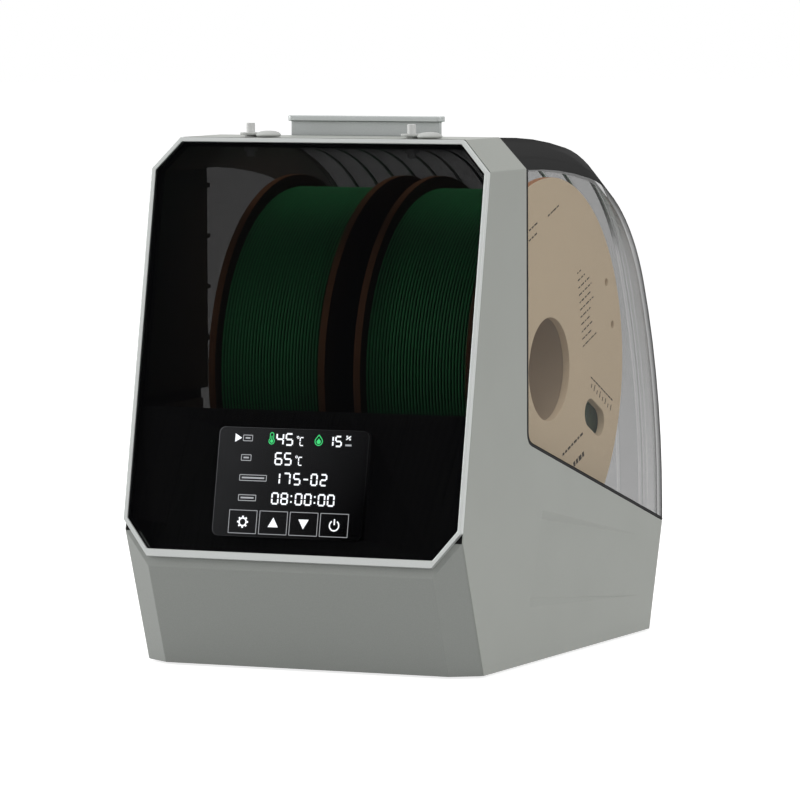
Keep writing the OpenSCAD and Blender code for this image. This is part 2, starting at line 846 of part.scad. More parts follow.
module fan_rotor() {
    low = 2.5 + run;
    color([0.15, 0.15, 0.15])
        place()
            translate([0, fan_y, plate_t]) {
                translate([0, 0, low]) cylinder(r = fan_hub_r, h = fan_t - low);
                translate([0, 0, 0.5]) cylinder(r = 1.5, h = low);
                intersection() {
                    for (i = [0:fan_blades - 1]) rotate([0, 0, i * 360 / fan_blades])
                        translate([fan_hub_r - 1, 0, (low + fan_t) / 2]) rotate([38, 0, 0])
                            translate([0, -10, -0.7]) cube([fan_duct_r, 20, 1.4]);
                    translate([0, 0, low + 0.5]) cylinder(r = fan_duct_r - 0.8, h = fan_t - low - 1);
                }
            }
}

// Circuit board on four spacers; each part is [x, y, width, depth, height] in shares of w, d and part_h
module board(w, d, part_h, parts) {
    board_t = 1.6;
    spacer_r = 3;
    translate([0, 0, board_z]) {
        cube([w, d, board_t]);
        for (x = [spacer_r + 2, w - spacer_r - 2], y = [spacer_r + 2, d - spacer_r - 2])
            translate([x, y, plate_t - board_z]) cylinder(r = spacer_r, h = board_z - plate_t + 0.01);
        for (q = parts) translate([q[0] * w, q[1] * d, board_t]) cube([q[2] * w, q[3] * d, q[4] * part_h]);
    }
}

module control_board() {
    part_h = 8;
    parts = [
        [0.14, 0.14, 0.33, 0.19, 0.25], [0.57, 0.54, 0.29, 0.11, 0.75],
        [0.14, 0.7, 0.38, 0.14, 1], [0.62, 0.19, 0.19, 0.22, 0.5]
    ];
    color([0.1, 0.35, 0.2])
        place()
            translate([-half_w + wall + board_gap, fan_y - fan_side / 2, 0])
                board(board_w, control_board_d, part_h, parts);
}

module power_board() {
    part_h = 15;
    parts = [
        [0.14, 0.1, 0.38, 0.28, 0.93], [0.62, 0.13, 0.24, 0.23, 0.8],
        [0.19, 0.5, 0.52, 0.3, 1], [0.14, 0.85, 0.57, 0.08, 0.53]
    ];
    color([0.45, 0.35, 0.15])
        place()
            translate([half_w - wall - board_gap - board_w, fan_y - fan_side / 2, 0])
                board(board_w, power_board_d, part_h, parts);
}

// Mains inlet with its flange on the rear wall and three pins in an open socket
module power_inlet() {
    back_t = 3;
    pin = [2, 4, 9];
    pin_pitch = 7;
    pin_low = 3; // outer pins below the middle; the middle pin stands 4 higher
    color([0.07, 0.07, 0.07])
        place() {
            difference() {
                union() {
                    wall_opening(inlet_x, inlet_w, inlet_h, 0, 0, 0, inlet_flange_t);
                    wall_opening(inlet_x, inlet_w, inlet_h, inlet_lip, fit, -inlet_depth, 0.1);
                }
                wall_opening(inlet_x, inlet_w, inlet_h, inlet_lip + socket_wall, 0, -inlet_depth + back_t, 3);
            }
            for (i = [-1:1])
                on_rear(inlet_depth - back_t + 1)
                    translate([inlet_x + i * pin_pitch - pin.x / 2, power_z - pin_low + (i == 0 ? 4 : 0), 0])
                        cube(pin);
        }
}

// Switch body in the rear wall, with the pin that its rocker tilts on
module switch_housing() {
    depth = 14;
    pin_l = switch_w - 2 * switch_lip - 2;
    color([0.07, 0.07, 0.07])
        place() {
            difference() {
                union() {
                    wall_opening(switch_x, switch_w, switch_h, 0, 0, 0, switch_flange_t);
                    wall_opening(switch_x, switch_w, switch_h, switch_lip, fit, -depth, 0.1);
                }
                wall_opening(switch_x, switch_w, switch_h, 2 * switch_lip, 0, -depth / 2, 3);
            }
            on_rear(rocker_in) translate([switch_x - pin_l / 2, power_z, 0]) rotate([0, 90, 0])
                cylinder(r = rocker_pin_r, h = pin_l);
        }
}

module switch_rocker() {
    w = switch_w - 4 * switch_lip - 2 * run;
    l = switch_h - 4 * switch_lip - 8 * run;
    proud = 2.4;
    color([0.1, 0.1, 0.1])
        place()
            on_rear(rocker_in) translate([switch_x, power_z, 0]) rotate([rocker_tilt, 0, 0])
                translate([-w / 2, 0, 0]) difference() {
                    rotate([90, 0, 90]) linear_extrude(w)
                        polygon([
                            [-l / 2, proud], [-l / 2, -1], [-2, -3], [2, -3],
                            [l / 2, -1], [l / 2, proud], [0, proud - 0.8]
                        ]);
                    translate([-1, 0, 0]) rotate([0, 90, 0])
                        cylinder(r = rocker_pin_r + journal, h = w + 2);
                }
}

// Rows of upright ears that hold the two roller axles
module roller_brackets() {
    color([0.1, 0.1, 0.1])
        place()
            for (k = [-1, 1])
                translate([spool_shift, spool_y + k * roller_span / 2, 0])
                    difference() {
                        union() {
                            translate([-ear_x - ear_t / 2, -7, floor_h]) cube([2 * ear_x + ear_t, 14, 2]);
                            for (x = [-ear_x, 0, ear_x]) translate([x - ear_t / 2, 0, 0]) {
                                translate([0, -6, floor_h]) cube([ear_t, 12, roller_z - floor_h]);
                                translate([0, 0, roller_z]) rotate([0, 90, 0]) cylinder(r = 6, h = ear_t);
                            }
                        }
                        translate([-ear_x - ear_t, 0, roller_z]) rotate([0, 90, 0])
                            cylinder(r = axle_r, h = 2 * ear_x + 2 * ear_t);
                    }
}

module roller_axles() {
    color([0.72, 0.72, 0.74])
        place()
            for (k = [-1, 1])
                translate([spool_shift - ear_x - ear_t / 2, spool_y + k * roller_span / 2, roller_z])
                    rotate([0, 90, 0])
                    cylinder(r = axle_r, h = 2 * ear_x + ear_t);
}

// Roller with a tread under each flange of the spool
module roller(side, k) {
    l = roller_l / 2;
    bore = axle_r + 1.2;
    seat = bearing_r + journal;
    color([0.14, 0.14, 0.14])
        place()
            translate([spool_shift + side * spool_pitch / 2, spool_y + k * roller_span / 2, roller_z]) rotate([0, 90, 0])
                rotate_extrude()
                    polygon([
                        [bore, -l + bearing_w], [seat, -l + bearing_w], [seat, -l], [roller_r - 1, -l],
                        [roller_r, -l + 1], [roller_r, -l + tread_w], [waist_r, -l + tread_w + 2],
                        [waist_r, l - tread_w - 2], [roller_r, l - tread_w], [roller_r, l - 1],
                        [roller_r - 1, l], [seat, l], [seat, l - bearing_w], [bore, l - bearing_w]
                    ]);
}

// Ball bearings at both ends of one roller
module bearings(side, k) {
    race = (bearing_r - axle_r) * 0.3;
    inner = axle_r + journal;
    h = bearing_w / 2;
    shield = h - 0.4;
    color([0.75, 0.75, 0.77])
        place()
            for (e = [-1, 1])
                translate([spool_shift + side * spool_pitch / 2, spool_y + k * roller_span / 2, roller_z])
                    translate([e * (roller_l - bearing_w) / 2, 0, 0]) rotate([0, 90, 0]) rotate_extrude()
                        polygon([
                            [inner, -h], [inner + race, -h], [inner + race, -shield],
                            [bearing_r - race, -shield], [bearing_r - race, -h], [bearing_r, -h],
                            [bearing_r, h], [bearing_r - race, h], [bearing_r - race, shield],
                            [inner + race, shield], [inner + race, h], [inner, h]
                        ]);
}

module humidity_sensor() {
    color([0.15, 0.15, 0.15])
        place()
            translate([-9, body_d - rear_setback - wall - tray_t - 18, floor_h]) difference() {
                cube([18, 12, 8]);
                for (i = [0:4]) translate([2.5 + i * 3, 2, 5]) cube([1.2, 8, 5]);
            }
}

// Filament outlet: tube with a collar on the strip and a nut under the seat frame
module outlet(side) {
    below = wall + hood_drop + run + tray_t;
    color([0.8, 0.81, 0.8])
        place()
            translate([side * outlet_x, outlet_y, body_h]) difference() {
                union() {
                    translate([0, 0, -below - 5]) cylinder(r = outlet_r, h = below + 5 + outlet_h);
                    cylinder(r = outlet_r + 1, h = 0.8);
                    translate([0, 0, -below - 2.2]) cylinder(r = 4, h = 2.2, $fn = 6);
                }
                translate([0, 0, -below - 6]) cylinder(r = outlet_bore_r, h = below + outlet_h + 8);
            }
}

// Silicone cap on a strap whose ring turns round the outlet
module cap(side) {
    ring_t = 1.2;
    color([0.75, 0.76, 0.74])
        place()
            translate([side * outlet_x, outlet_y, body_h + 0.8 + run]) difference() {
                union() {
                    cylinder(r = collar_r, h = ring_t);
                    translate([0, -1.5, 0]) cube([cap_at, 3, 0.8]);
                    translate([cap_at, 0, -0.8]) rotate_extrude()
                        polygon([
                            [0, 0], [cap_r - 0.6, 0], [cap_r, 0.6], [cap_r, 1.1],
                            [cap_r * 0.85, cap_h - 0.9], [cap_r * 0.6, cap_h - 0.3],
                            [cap_r * 0.3, cap_h - 0.05], [0, cap_h]
                        ]);
                }
                translate([0, 0, -2]) cylinder(r = outlet_r + journal, h = 6);
            }
}

// One row of hinge barrels centred on x, with a leaf outline given as [y, z]
module hinge_part(x, l, bore, leaf) {
    translate([x, 0, 0]) difference() {
        union() {
            translate([-l / 2, hinge_y, hinge_z]) rotate([0, 90, 0]) cylinder(r = barrel_r, h = l);
            across(leaf, l);
        }
        translate([-l / 2 - 1, hinge_y, hinge_z]) rotate([0, 90, 0]) cylinder(r = bore, h = l + 2);
    }
}

module hinge_base() {
    low = split_rear_h - leaf_h;
    offset = hood_barrel_l / 2 + run + base_barrel_l / 2;
    leaf = [
        [body_d - rear_setback * leaf_h / split_rear_h, low],
        [hinge_y + barrel_r * sin(40), hinge_z - barrel_r * cos(40)],
        [hinge_y, hinge_z],
        [hinge_y - barrel_r * cos(10), hinge_z - barrel_r * sin(10)],
        [body_d - rear_setback * 1.5 / split_rear_h, split_rear_h - 1.5]
    ];
    color([0.5, 0.51, 0.49])
        place()
            for (side = [-1, 1], e = [-1, 1])
                hinge_part(side * hinge_x + e * offset, base_barrel_l, hinge_pin_r, leaf);
}

module hinge_hood() {
    leaf = [
        [body_d, hinge_z + hood_gap + 1.5],
        [hinge_y - barrel_r * cos(20), hinge_z + barrel_r * sin(20)],
        [hinge_y, hinge_z],
        [hinge_y + barrel_r * cos(40), hinge_z + barrel_r * sin(40)],
        [body_d + leaf_t, hinge_z + barrel_r + leaf_t],
        [body_d + leaf_t, hinge_z + leaf_h],
        [body_d, hinge_z + leaf_h]
    ];
    color([0.2, 0.2, 0.21])
        place()
            for (side = [-1, 1])
                hinge_part(side * hinge_x, hood_barrel_l, hinge_pin_r + journal, leaf);
}

module hinge_pins() {
    l = hood_barrel_l + 2 * run + 2 * base_barrel_l;
    color([0.72, 0.72, 0.74])
        place()
            for (side = [-1, 1]) translate([side * hinge_x - l / 2, hinge_y, hinge_z]) rotate([0, 90, 0])
                cylinder(r = hinge_pin_r, h = l);
}

// Solid under the hood's skin moved inwards by t, lofted through the stations in a closed ring
module hood_solid(t, grooves) {
    section = hood_section(t, grooves);
    m = len(section);
    n = len(hood_stations);
    points = [
        for (s = hood_stations, q = section)
            [q.x, s.x + q.y * sin(s[2]), s.y + q.y * cos(s[2])]
    ];
    faces = concat(
        [[for (i = [0:n - 1]) i * m], [for (i = [n - 1:-1:0]) i * m + m - 1]],
        [for (i = [0:n - 1], j = [0:m - 2]) let (k = (i + 1) % n) [i * m + j, i * m + j + 1, k * m + j + 1]],
        [for (i = [0:n - 1], j = [0:m - 2]) let (k = (i + 1) % n) [i * m + j, k * m + j + 1, k * m + j]]
    );
    polyhedron(points, faces);
}

module hood_skin(grooves) {
    difference() {
        hood_solid(0, 0);
        hood_solid(hood_t, grooves);
    }
}

module hood_shell() {
    color([0.35, 0.35, 0.36, 0.5])
        place()
            intersection() {
                hood_skin(hood_grooves);
                across(hood_region(hood_gap), 2 * far);
            }
}

module hood_seal() {
    color([0.12, 0.12, 0.12])
        place()
            intersection() {
                hood_skin(0);
                difference() {
                    across(hood_region(seal_gap), 2 * far);
                    across(hood_region(hood_gap), 2 * far + 2);
                }
            }
}

// T-shaped lifting handle across the hood's top
module hood_handle() {
    seat_r = top_r + chamfer_z + 0.1;
    web_y = strip_rear + handle_back;
    web_d = handle_d - 2 * handle_lip;
    r = 3;
    color([0.7, 0.71, 0.69])
        place()
            difference() {
                union() {
                    translate([-handle_w / 2 + handle_lip, web_y, hood_top - 4])
                        cube([handle_w - 2 * handle_lip, web_d, 4 + handle_web_h + 0.1]);
                    translate([0, web_y - handle_lip, hood_top + handle_web_h]) {
                        translate([-handle_w / 2 + r, 0, 0]) cube([handle_w - 2 * r, handle_d, handle_t]);
                        translate([-handle_w / 2, r, 0]) cube([handle_w, handle_d - 2 * r, handle_t]);
                        for (x = [-1, 1], y = [r, handle_d - r]) translate([x * (handle_w / 2 - r), y, 0])
                            cylinder(r = r, h = handle_t);
                    }
                }
                translate([-far / 2, strip_rear, hood_top - top_r - chamfer_z]) rotate([0, 90, 0])
                    cylinder(r = seat_r, h = far, $fn = 256);
            }
}

module spool_place(side) {
    place() translate([spool_shift + side * spool_pitch / 2, spool_y, spool_z]) rotate([0, 90, 0]) children();
}

module spool_flange() {
    through = flange_t + 2;
    difference() {
        cylinder(r = spool_r, h = flange_t);
        translate([0, 0, -1]) cylinder(r = spool_bore_r, h = through);
        for (a = tie_hole_angles) rotate([0, 0, 90 + a]) translate([spool_r - 6 * tie_hole_r, 0, -1])
            cylinder(r = tie_hole_r, h = through);
        rotate([0, 0, 90 + sight_slot_angle]) translate([sight_slot_at, 0, -1]) {
            for (e = [-1, 1]) translate([e * sight_slot_l / 2, 0, 0])
                cylinder(r = sight_slot_r, h = through);
            translate([-sight_slot_l / 2, -sight_slot_r, 0]) cube([sight_slot_l, 2 * sight_slot_r, through]);
        }
    }
}

module spool_flanges(side) {
    color([0.67, 0.6, 0.5])
        spool_place(side) {
            translate([0, 0, spool_w / 2 - flange_t]) spool_flange();
            translate([0, 0, -spool_w / 2]) spool_flange();
        }
}

module spool_core(side) {
    color([0.6, 0.52, 0.42])
        spool_place(side)
            translate([0, 0, -spool_w / 2 + flange_t]) difference() {
                cylinder(r = core_d / 2, h = spool_w - 2 * flange_t);
                translate([0, 0, -1]) cylinder(r = spool_bore_r, h = spool_w);
            }
}

module filament(side) {
    color([0.08, 0.25, 0.14])
        spool_place(side)
            translate([0, 0, -spool_w / 2 + flange_t]) difference() {
                cylinder(r = spool_r - winding_in, h = spool_w - 2 * flange_t);
                translate([0, 0, -1]) cylinder(r = core_d / 2, h = spool_w);
            }
}

main_housing();
nose_cover();
front_bezel();
front_panel();
panel_backing();
display_module();
touch_board();
hood_seat_frame();
base_plate();
feet();
base_screws();
chamber_tray();
air_grille();
heater_block();
fan_frame();
fan_rotor();
control_board();
power_board();
power_inlet();
switch_housing();
switch_rocker();
roller_brackets();
roller_axles();
roller(-1, -1);  // roller_front_left
roller(1, -1);  // roller_front_right
roller(-1, 1);  // roller_rear_left
roller(1, 1);  // roller_rear_right
bearings(-1, -1);  // bearings_front_left
bearings(1, -1);  // bearings_front_right
bearings(-1, 1);  // bearings_rear_left
bearings(1, 1);  // bearings_rear_right
humidity_sensor();
outlet(-1);  // outlet_left
outlet(1);  // outlet_right
cap(-1);  // cap_left
cap(1);  // cap_right
hinge_base();
hinge_pins();
hinge_hood();
hood_shell();
hood_seal();
hood_handle();
spool_flanges(-1);  // spool_flanges_left
spool_core(-1);  // spool_core_left
filament(-1);  // filament_left
spool_flanges(1);  // spool_flanges_right
spool_core(1);  // spool_core_right
filament(1);  // filament_right
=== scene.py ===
import json
from math import atan, cos, hypot, pi, radians, sin

import bpy
from mathutils import Matrix, Vector


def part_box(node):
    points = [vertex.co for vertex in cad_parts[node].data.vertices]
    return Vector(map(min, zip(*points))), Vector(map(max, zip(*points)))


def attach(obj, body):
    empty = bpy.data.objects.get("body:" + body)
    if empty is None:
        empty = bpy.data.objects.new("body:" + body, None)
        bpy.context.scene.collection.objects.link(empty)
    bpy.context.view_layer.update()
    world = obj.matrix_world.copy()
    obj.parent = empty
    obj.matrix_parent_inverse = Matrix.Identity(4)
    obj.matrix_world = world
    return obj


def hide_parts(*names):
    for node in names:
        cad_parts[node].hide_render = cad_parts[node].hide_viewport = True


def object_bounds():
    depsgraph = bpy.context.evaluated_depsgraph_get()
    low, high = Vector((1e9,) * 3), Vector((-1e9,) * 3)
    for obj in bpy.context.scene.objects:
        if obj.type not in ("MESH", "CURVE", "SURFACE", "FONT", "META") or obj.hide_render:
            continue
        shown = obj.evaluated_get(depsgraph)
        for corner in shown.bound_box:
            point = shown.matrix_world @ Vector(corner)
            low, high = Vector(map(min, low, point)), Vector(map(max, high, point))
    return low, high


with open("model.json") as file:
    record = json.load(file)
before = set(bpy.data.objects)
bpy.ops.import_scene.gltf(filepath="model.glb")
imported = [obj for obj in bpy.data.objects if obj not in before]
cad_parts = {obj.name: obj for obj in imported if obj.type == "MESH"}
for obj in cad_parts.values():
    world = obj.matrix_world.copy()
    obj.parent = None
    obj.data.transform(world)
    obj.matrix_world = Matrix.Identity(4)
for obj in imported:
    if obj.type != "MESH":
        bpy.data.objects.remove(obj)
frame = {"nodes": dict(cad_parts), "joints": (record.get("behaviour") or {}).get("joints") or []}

cad_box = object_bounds()
solids = frame["nodes"]

# ---- Studio ------------------------------------------------------------------------------------
# A pale seamless floor under a white sky, with a softbox high on the right, a stronger one on the
# left and one overhead. The floor glows a little for the eye, so it ends in white all round.

scene = bpy.context.scene
scene.view_settings.view_transform = "Standard"

camera = bpy.data.objects.new("camera", bpy.data.cameras.new("camera"))
scene.collection.objects.link(camera)
scene.camera = camera
camera.data.sensor_width = 36
camera.data.lens = 255.87
# three rows of its turn, each with one coordinate of its place at the end
camera.matrix_world = Matrix(
    (
        (0.90939726, -0.02848464, 0.4149521, 1.23802),
        (0.41590956, 0.07182806, -0.90656493, -2.71534),
        (-0.00398203, 0.99701021, 0.07716727, 0.36035),
        (0, 0, 0, 1),
    )
)


def seen_directly(tree):
    """1 for what the eye sees at once, in a gloss or through a glass, and 0 for light on things"""
    path = tree.nodes.new("ShaderNodeLightPath")
    total = path.outputs["Is Camera Ray"]
    for kind in ("Is Glossy Ray", "Is Transmission Ray"):
        either = tree.nodes.new("ShaderNodeMath")
        either.operation = "MAXIMUM"
        tree.links.new(total, either.inputs[0])
        tree.links.new(path.outputs[kind], either.inputs[1])
        total = either.outputs["Value"]
    return total


sky_on_things, sky_seen = 0.47, 1.0
sky = bpy.data.worlds.new("white_sky")
scene.world = sky
sky.use_nodes = True
tree = sky.node_tree
background = tree.nodes["Background"]
background.inputs["Color"].default_value = (1, 1, 1, 1)
level = tree.nodes.new("ShaderNodeMapRange")
level.inputs["To Min"].default_value = sky_on_things
level.inputs["To Max"].default_value = sky_seen
tree.links.new(seen_directly(tree), level.inputs["Value"])
tree.links.new(level.outputs["Result"], background.inputs["Strength"])

floor_radius, floor_glow = 14, 0.8
bpy.ops.object.select_all(action="DESELECT")
bpy.ops.mesh.primitive_circle_add(vertices=96, radius=floor_radius, fill_type="NGON", location=(0, 0, 0))
floor = bpy.context.object
floor.name = "floor"
paper = bpy.data.materials.new("white_paper")
paper.use_nodes = True
tree = paper.node_tree
shader = tree.nodes["Principled BSDF"]
shader.inputs["Base Color"].default_value = (0.5, 0.5, 0.5, 1)
shader.inputs["Roughness"].default_value = 0.9
shader.inputs["Specular IOR Level"].default_value = 0.0
shader.inputs["Emission Color"].default_value = (1, 1, 1, 1)
level = tree.nodes.new("ShaderNodeMath")
level.operation = "MULTIPLY"
level.inputs[1].default_value = floor_glow
tree.links.new(seen_directly(tree), level.inputs[0])
tree.links.new(level.outputs["Value"], shader.inputs["Emission Strength"])
floor.data.materials.append(paper)


def softbox(name, place, target, side, power):
    """A square lamp of that side in metres, which faces target"""
    lamp = bpy.data.objects.new(name, bpy.data.lights.new(name, "AREA"))
    scene.collection.objects.link(lamp)
    lamp.data.shape = "SQUARE"
    lamp.data.size = side
    lamp.data.energy = power
    lamp.location = place
    lamp.rotation_euler = (Vector(target) - Vector(place)).to_track_quat("-Z", "Y").to_euler()


softbox("softbox_right", (2.9, -1.2, 1.5), (0, 0, 0.15), side=1.6, power=26)
softbox("softbox_left", (-2.8, -0.9, 1.1), (0, 0, 0.15), side=1.4, power=54)
softbox("softbox_top", (0.1, -0.2, 2.5), (0, 0, 0.2), side=1.5, power=22)

# ---- Lower housing -----------------------------------------------------------------------------
# The structural shell: one injection moulding that carries the front panel's surround and the strip
# over it. It is sprayed silver grey with a fine metallic flake; its arrises are softened in the tool.


def linear(r, g, b):
    """A colour as it looks on a screen, 0 to 255, as the light that it stands for"""
    shares = [value / 255 for value in (r, g, b)]
    return tuple(v / 12.92 if v < 0.0405 else ((v + 0.055) / 1.055) ** 2.4 for v in shares)


def coated(name, colour, roughness, metallic=0.0, specular=0.5):
    """A new material of one colour, and its shader"""
    finish = bpy.data.materials.new(name)
    finish.use_nodes = True
    shader = finish.node_tree.nodes["Principled BSDF"]
    shader.inputs["Base Color"].default_value = (*colour, 1)
    shader.inputs["Roughness"].default_value = roughness
    shader.inputs["Metallic"].default_value = metallic
    shader.inputs["Specular IOR Level"].default_value = specular
    return finish, shader


def grained(finish, shader, size, contrast, bump, gloss=0.05, stretch=(1, 1, 1), detail=3.0):
    """Gives a finish a grain of that size in metres, in its colour, gloss and relief"""
    tree = finish.node_tree
    base = tuple(shader.inputs["Base Color"].default_value)[:3]
    rough = shader.inputs["Roughness"].default_value
    place = tree.nodes.new("ShaderNodeTexCoord")
    turn = tree.nodes.new("ShaderNodeMapping")
    turn.inputs["Scale"].default_value = stretch
    tree.links.new(place.outputs["Object"], turn.inputs["Vector"])
    fine = tree.nodes.new("ShaderNodeTexNoise")
    fine.inputs["Scale"].default_value = 1 / size
    fine.inputs["Detail"].default_value = detail
    tree.links.new(turn.outputs["Vector"], fine.inputs["Vector"])
    ramp = tree.nodes.new("ShaderNodeValToRGB")
    ramp.color_ramp.elements[0].position = 0.3
    ramp.color_ramp.elements[1].position = 0.7
    ramp.color_ramp.elements[0].color = (*(c * (1 - contrast) for c in base), 1)
    ramp.color_ramp.elements[1].color = (*(min(c * (1 + contrast), 1) for c in base), 1)
    tree.links.new(fine.outputs["Fac"], ramp.inputs["Fac"])
    tree.links.new(ramp.outputs["Color"], shader.inputs["Base Color"])
    broad = tree.nodes.new("ShaderNodeTexNoise")
    broad.inputs["Scale"].default_value = 26  # patches of about 40 mm
    tree.links.new(place.outputs["Object"], broad.inputs["Vector"])
    sheen = tree.nodes.new("ShaderNodeMapRange")
    sheen.inputs["To Min"].default_value = max(rough - gloss, 0.02)
    sheen.inputs["To Max"].default_value = min(rough + gloss, 1)
    tree.links.new(broad.outputs["Fac"], sheen.inputs["Value"])
    tree.links.new(sheen.outputs["Result"], shader.inputs["Roughness"])
    relief = tree.nodes.new("ShaderNodeBump")
    relief.inputs["Strength"].default_value = bump
    relief.inputs["Distance"].default_value = size / 4
    tree.links.new(fine.outputs["Fac"], relief.inputs["Height"])
    tree.links.new(relief.outputs["Normal"], shader.inputs["Normal"])
    return finish


def finished(name, colour, roughness, size, contrast, bump, metallic=0.0, specular=0.5, **grain):
    """A new material of one colour with its grain"""
    return grained(*coated(name, colour, roughness, metallic, specular), size, contrast, bump, **grain)


def softened(node, name, body, finish, edge=0.0, steps=2, corner=24, smooth=30):
    """Welds a copy of a solid, rounds its edges, and lets it stand for that solid"""
    piece = bpy.data.objects.new(name, solids[node].data.copy())
    scene.collection.objects.link(piece)
    bpy.ops.object.select_all(action="DESELECT")
    bpy.context.view_layer.objects.active = piece
    piece.select_set(True)
    if piece.data.has_custom_normals:
        bpy.ops.mesh.customdata_custom_splitnormals_clear()
    bpy.ops.object.mode_set(mode="EDIT")
    bpy.ops.mesh.select_all(action="SELECT")
    bpy.ops.mesh.remove_doubles(threshold=0.00001)
    bpy.ops.mesh.dissolve_limited(angle_limit=radians(0.6))
    bpy.ops.object.mode_set(mode="OBJECT")
    if edge:
        rounding = piece.modifiers.new("rounding", "BEVEL")
        rounding.width = edge
        rounding.segments = steps
        rounding.limit_method = "ANGLE"
        rounding.angle_limit = radians(corner)
        rounding.use_clamp_overlap = False
        bpy.ops.object.modifier_apply(modifier=rounding.name)
        low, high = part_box(node)
        for point in piece.data.vertices:
            point.co = [min(max(c, a), b) for c, a, b in zip(point.co, low, high)]
    bpy.ops.object.shade_smooth_by_angle(angle=radians(smooth))
    flat = piece.modifiers.new("flat_faces", "WEIGHTED_NORMAL")
    flat.keep_sharp = True
    bpy.ops.object.modifier_apply(modifier=flat.name)
    piece.data.materials.clear()
    piece.data.materials.append(finish)
    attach(piece, body)
    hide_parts(node)
    return piece


silver = finished(
    "silver_paint", linear(149, 152, 146), 0.42, size=0.00035, contrast=0.07, bump=0.06, metallic=0.25
)
housing = softened(
    "main_housing", "lower_housing", "housing", silver,
    edge=0.0005, steps=3, corner=12,
)

half_width, inner_half_width = cad_box[1][0], 0.0922
front_y, underside_z = cad_box[0][1], 0.0012
body_height, nose_height, panel_setback = 0.269006, 0.057, 0.0415
panel_lean = atan(panel_setback / (body_height - nose_height))
panel_foot = Matrix.Translation((0, front_y, underside_z + nose_height))
panel_plane = panel_foot @ Matrix.Rotation(pi / 2 - panel_lean, 4, "X")
masking = finished("masking_black", linear(8, 8, 9), 0.6, size=0.0006, contrast=0.2, bump=0.1, specular=0.1)
housing.data.materials.append(masking)
into_panel = panel_plane.inverted()
window_back, window_front, bezel_side, bezel_foot = -0.0075, -0.0028, 0.0021, 0.002
box_middle = Vector((0, 0, 0.13))
# the rim round the window and the inner faces are masked in black
for face in housing.data.polygons:
    spot = into_panel @ face.center
    turned = into_panel.to_3x3() @ face.normal
    slanted = min(abs(turned.x), abs(turned.y)) > 0.3
    within_bezel = abs(spot.x) < half_width - bezel_side and spot.y > bezel_foot
    round_window = window_back < spot.z < window_front and within_bezel and not slanted
    faces_in = abs(face.center.x) < inner_half_width and face.normal.dot(face.center - box_middle) < 0
    if round_window or faces_in:
        face.material_index = 1

# ---- Rear wall ---------------------------------------------------------------------------------
# The housing's rear wall, which leans out from the base to the hood and turns in at both corners.
# It is moulded in one with the housing, with openings for the mains inlet and the switch.

rear_foot_y, rear_run, rear_rise = 0.12185, 17, 52
rear_lean = atan(rear_run / rear_rise)
# x to the right as seen from behind, y up along the wall and z out of it
rear_face = Matrix.Translation((0, rear_foot_y, underside_z)) @ Matrix(
    (
        (-1, 0, 0, 0),
        (0, sin(rear_lean), cos(rear_lean), 0),
        (0, cos(rear_lean), -sin(rear_lean), 0),
        (0, 0, 0, 1),
    )
)
millimetres = Matrix.Scale(0.001, 4)
power_y, inlet_hole, switch_hole, hole_depth = 14.5, (27, 20), (12.6, 18.6), 12
wall_half, wall_low, wall_top, below_face, wall_thickness = 79.5, 7.5, 54.6, 0.12, 2.3
corner_out, corner_down, corner_in, corner_slope = 12.4, 0.9, 13.8, 14.9


def middle_x(node):
    """The middle of a solid across the box, in millimetres"""
    low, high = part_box(node)
    return 1000 * (low[0] + high[0]) / 2


inlet_x, switch_x = middle_x("power_inlet"), middle_x("switch_housing")


def picked(piece, test):
    """Selects the corners of a mesh, in edit mode, whose place passes a test"""
    bpy.ops.mesh.select_all(action="DESELECT")
    bpy.ops.object.mode_set(mode="OBJECT")
    for corner in piece.data.vertices:
        corner.select = test(corner.co)
    bpy.ops.object.mode_set(mode="EDIT")


bpy.ops.object.select_all(action="DESELECT")
bpy.ops.mesh.primitive_plane_add(size=1)
rear_wall = bpy.context.object
rear_wall.name = "housing_rear_wall"
bpy.ops.object.mode_set(mode="EDIT")
bpy.ops.mesh.select_all(action="SELECT")
bpy.ops.transform.resize(value=(2 * wall_half, wall_top - wall_low, 1))
bpy.ops.transform.translate(value=(0, (wall_top + wall_low) / 2, -below_face))
for side in (-1, 1):
    turned_in = (corner_out * side, -corner_down, -corner_in)
    picked(rear_wall, lambda at: at.x * side > wall_half - 1)
    bpy.ops.mesh.extrude_region_move(TRANSFORM_OT_translate={"value": turned_in})
    picked(rear_wall, lambda at: at.x * side > wall_half + 1 and at.y < wall_top / 2)
    bpy.ops.transform.translate(value=(0, corner_slope, 0))
bpy.ops.object.mode_set(mode="OBJECT")
bpy.ops.object.select_all(action="DESELECT")
bpy.ops.mesh.primitive_cube_add(size=1, location=(-inlet_x, power_y, 0), scale=(*inlet_hole, hole_depth))
openings = bpy.context.object
bpy.ops.object.mode_set(mode="EDIT")
bpy.ops.mesh.primitive_cube_add(size=1, location=(-switch_x, power_y, 0), scale=(*switch_hole, hole_depth))
bpy.ops.object.mode_set(mode="OBJECT")
bpy.ops.object.transform_apply(location=True, rotation=True, scale=True)
bpy.ops.object.select_all(action="DESELECT")
bpy.context.view_layer.objects.active = rear_wall
rear_wall.select_set(True)
thick = rear_wall.modifiers.new("thick", "SOLIDIFY")
thick.thickness = wall_thickness
thick.offset = -1
thick.use_even_offset = True
cut = rear_wall.modifiers.new("cut", "BOOLEAN")
cut.operation = "DIFFERENCE"
cut.object = openings
rounded = rear_wall.modifiers.new("rounded", "BEVEL")
rounded.width = 0.3
rounded.segments = 2
for step in (thick, cut, rounded):
    bpy.ops.object.modifier_apply(modifier=step.name)
bpy.data.objects.remove(openings)
rear_wall.data.transform(rear_face @ millimetres)
bpy.ops.object.shade_smooth_by_angle(angle=radians(30))
rear_wall.data.materials.append(silver)
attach(rear_wall, "housing")

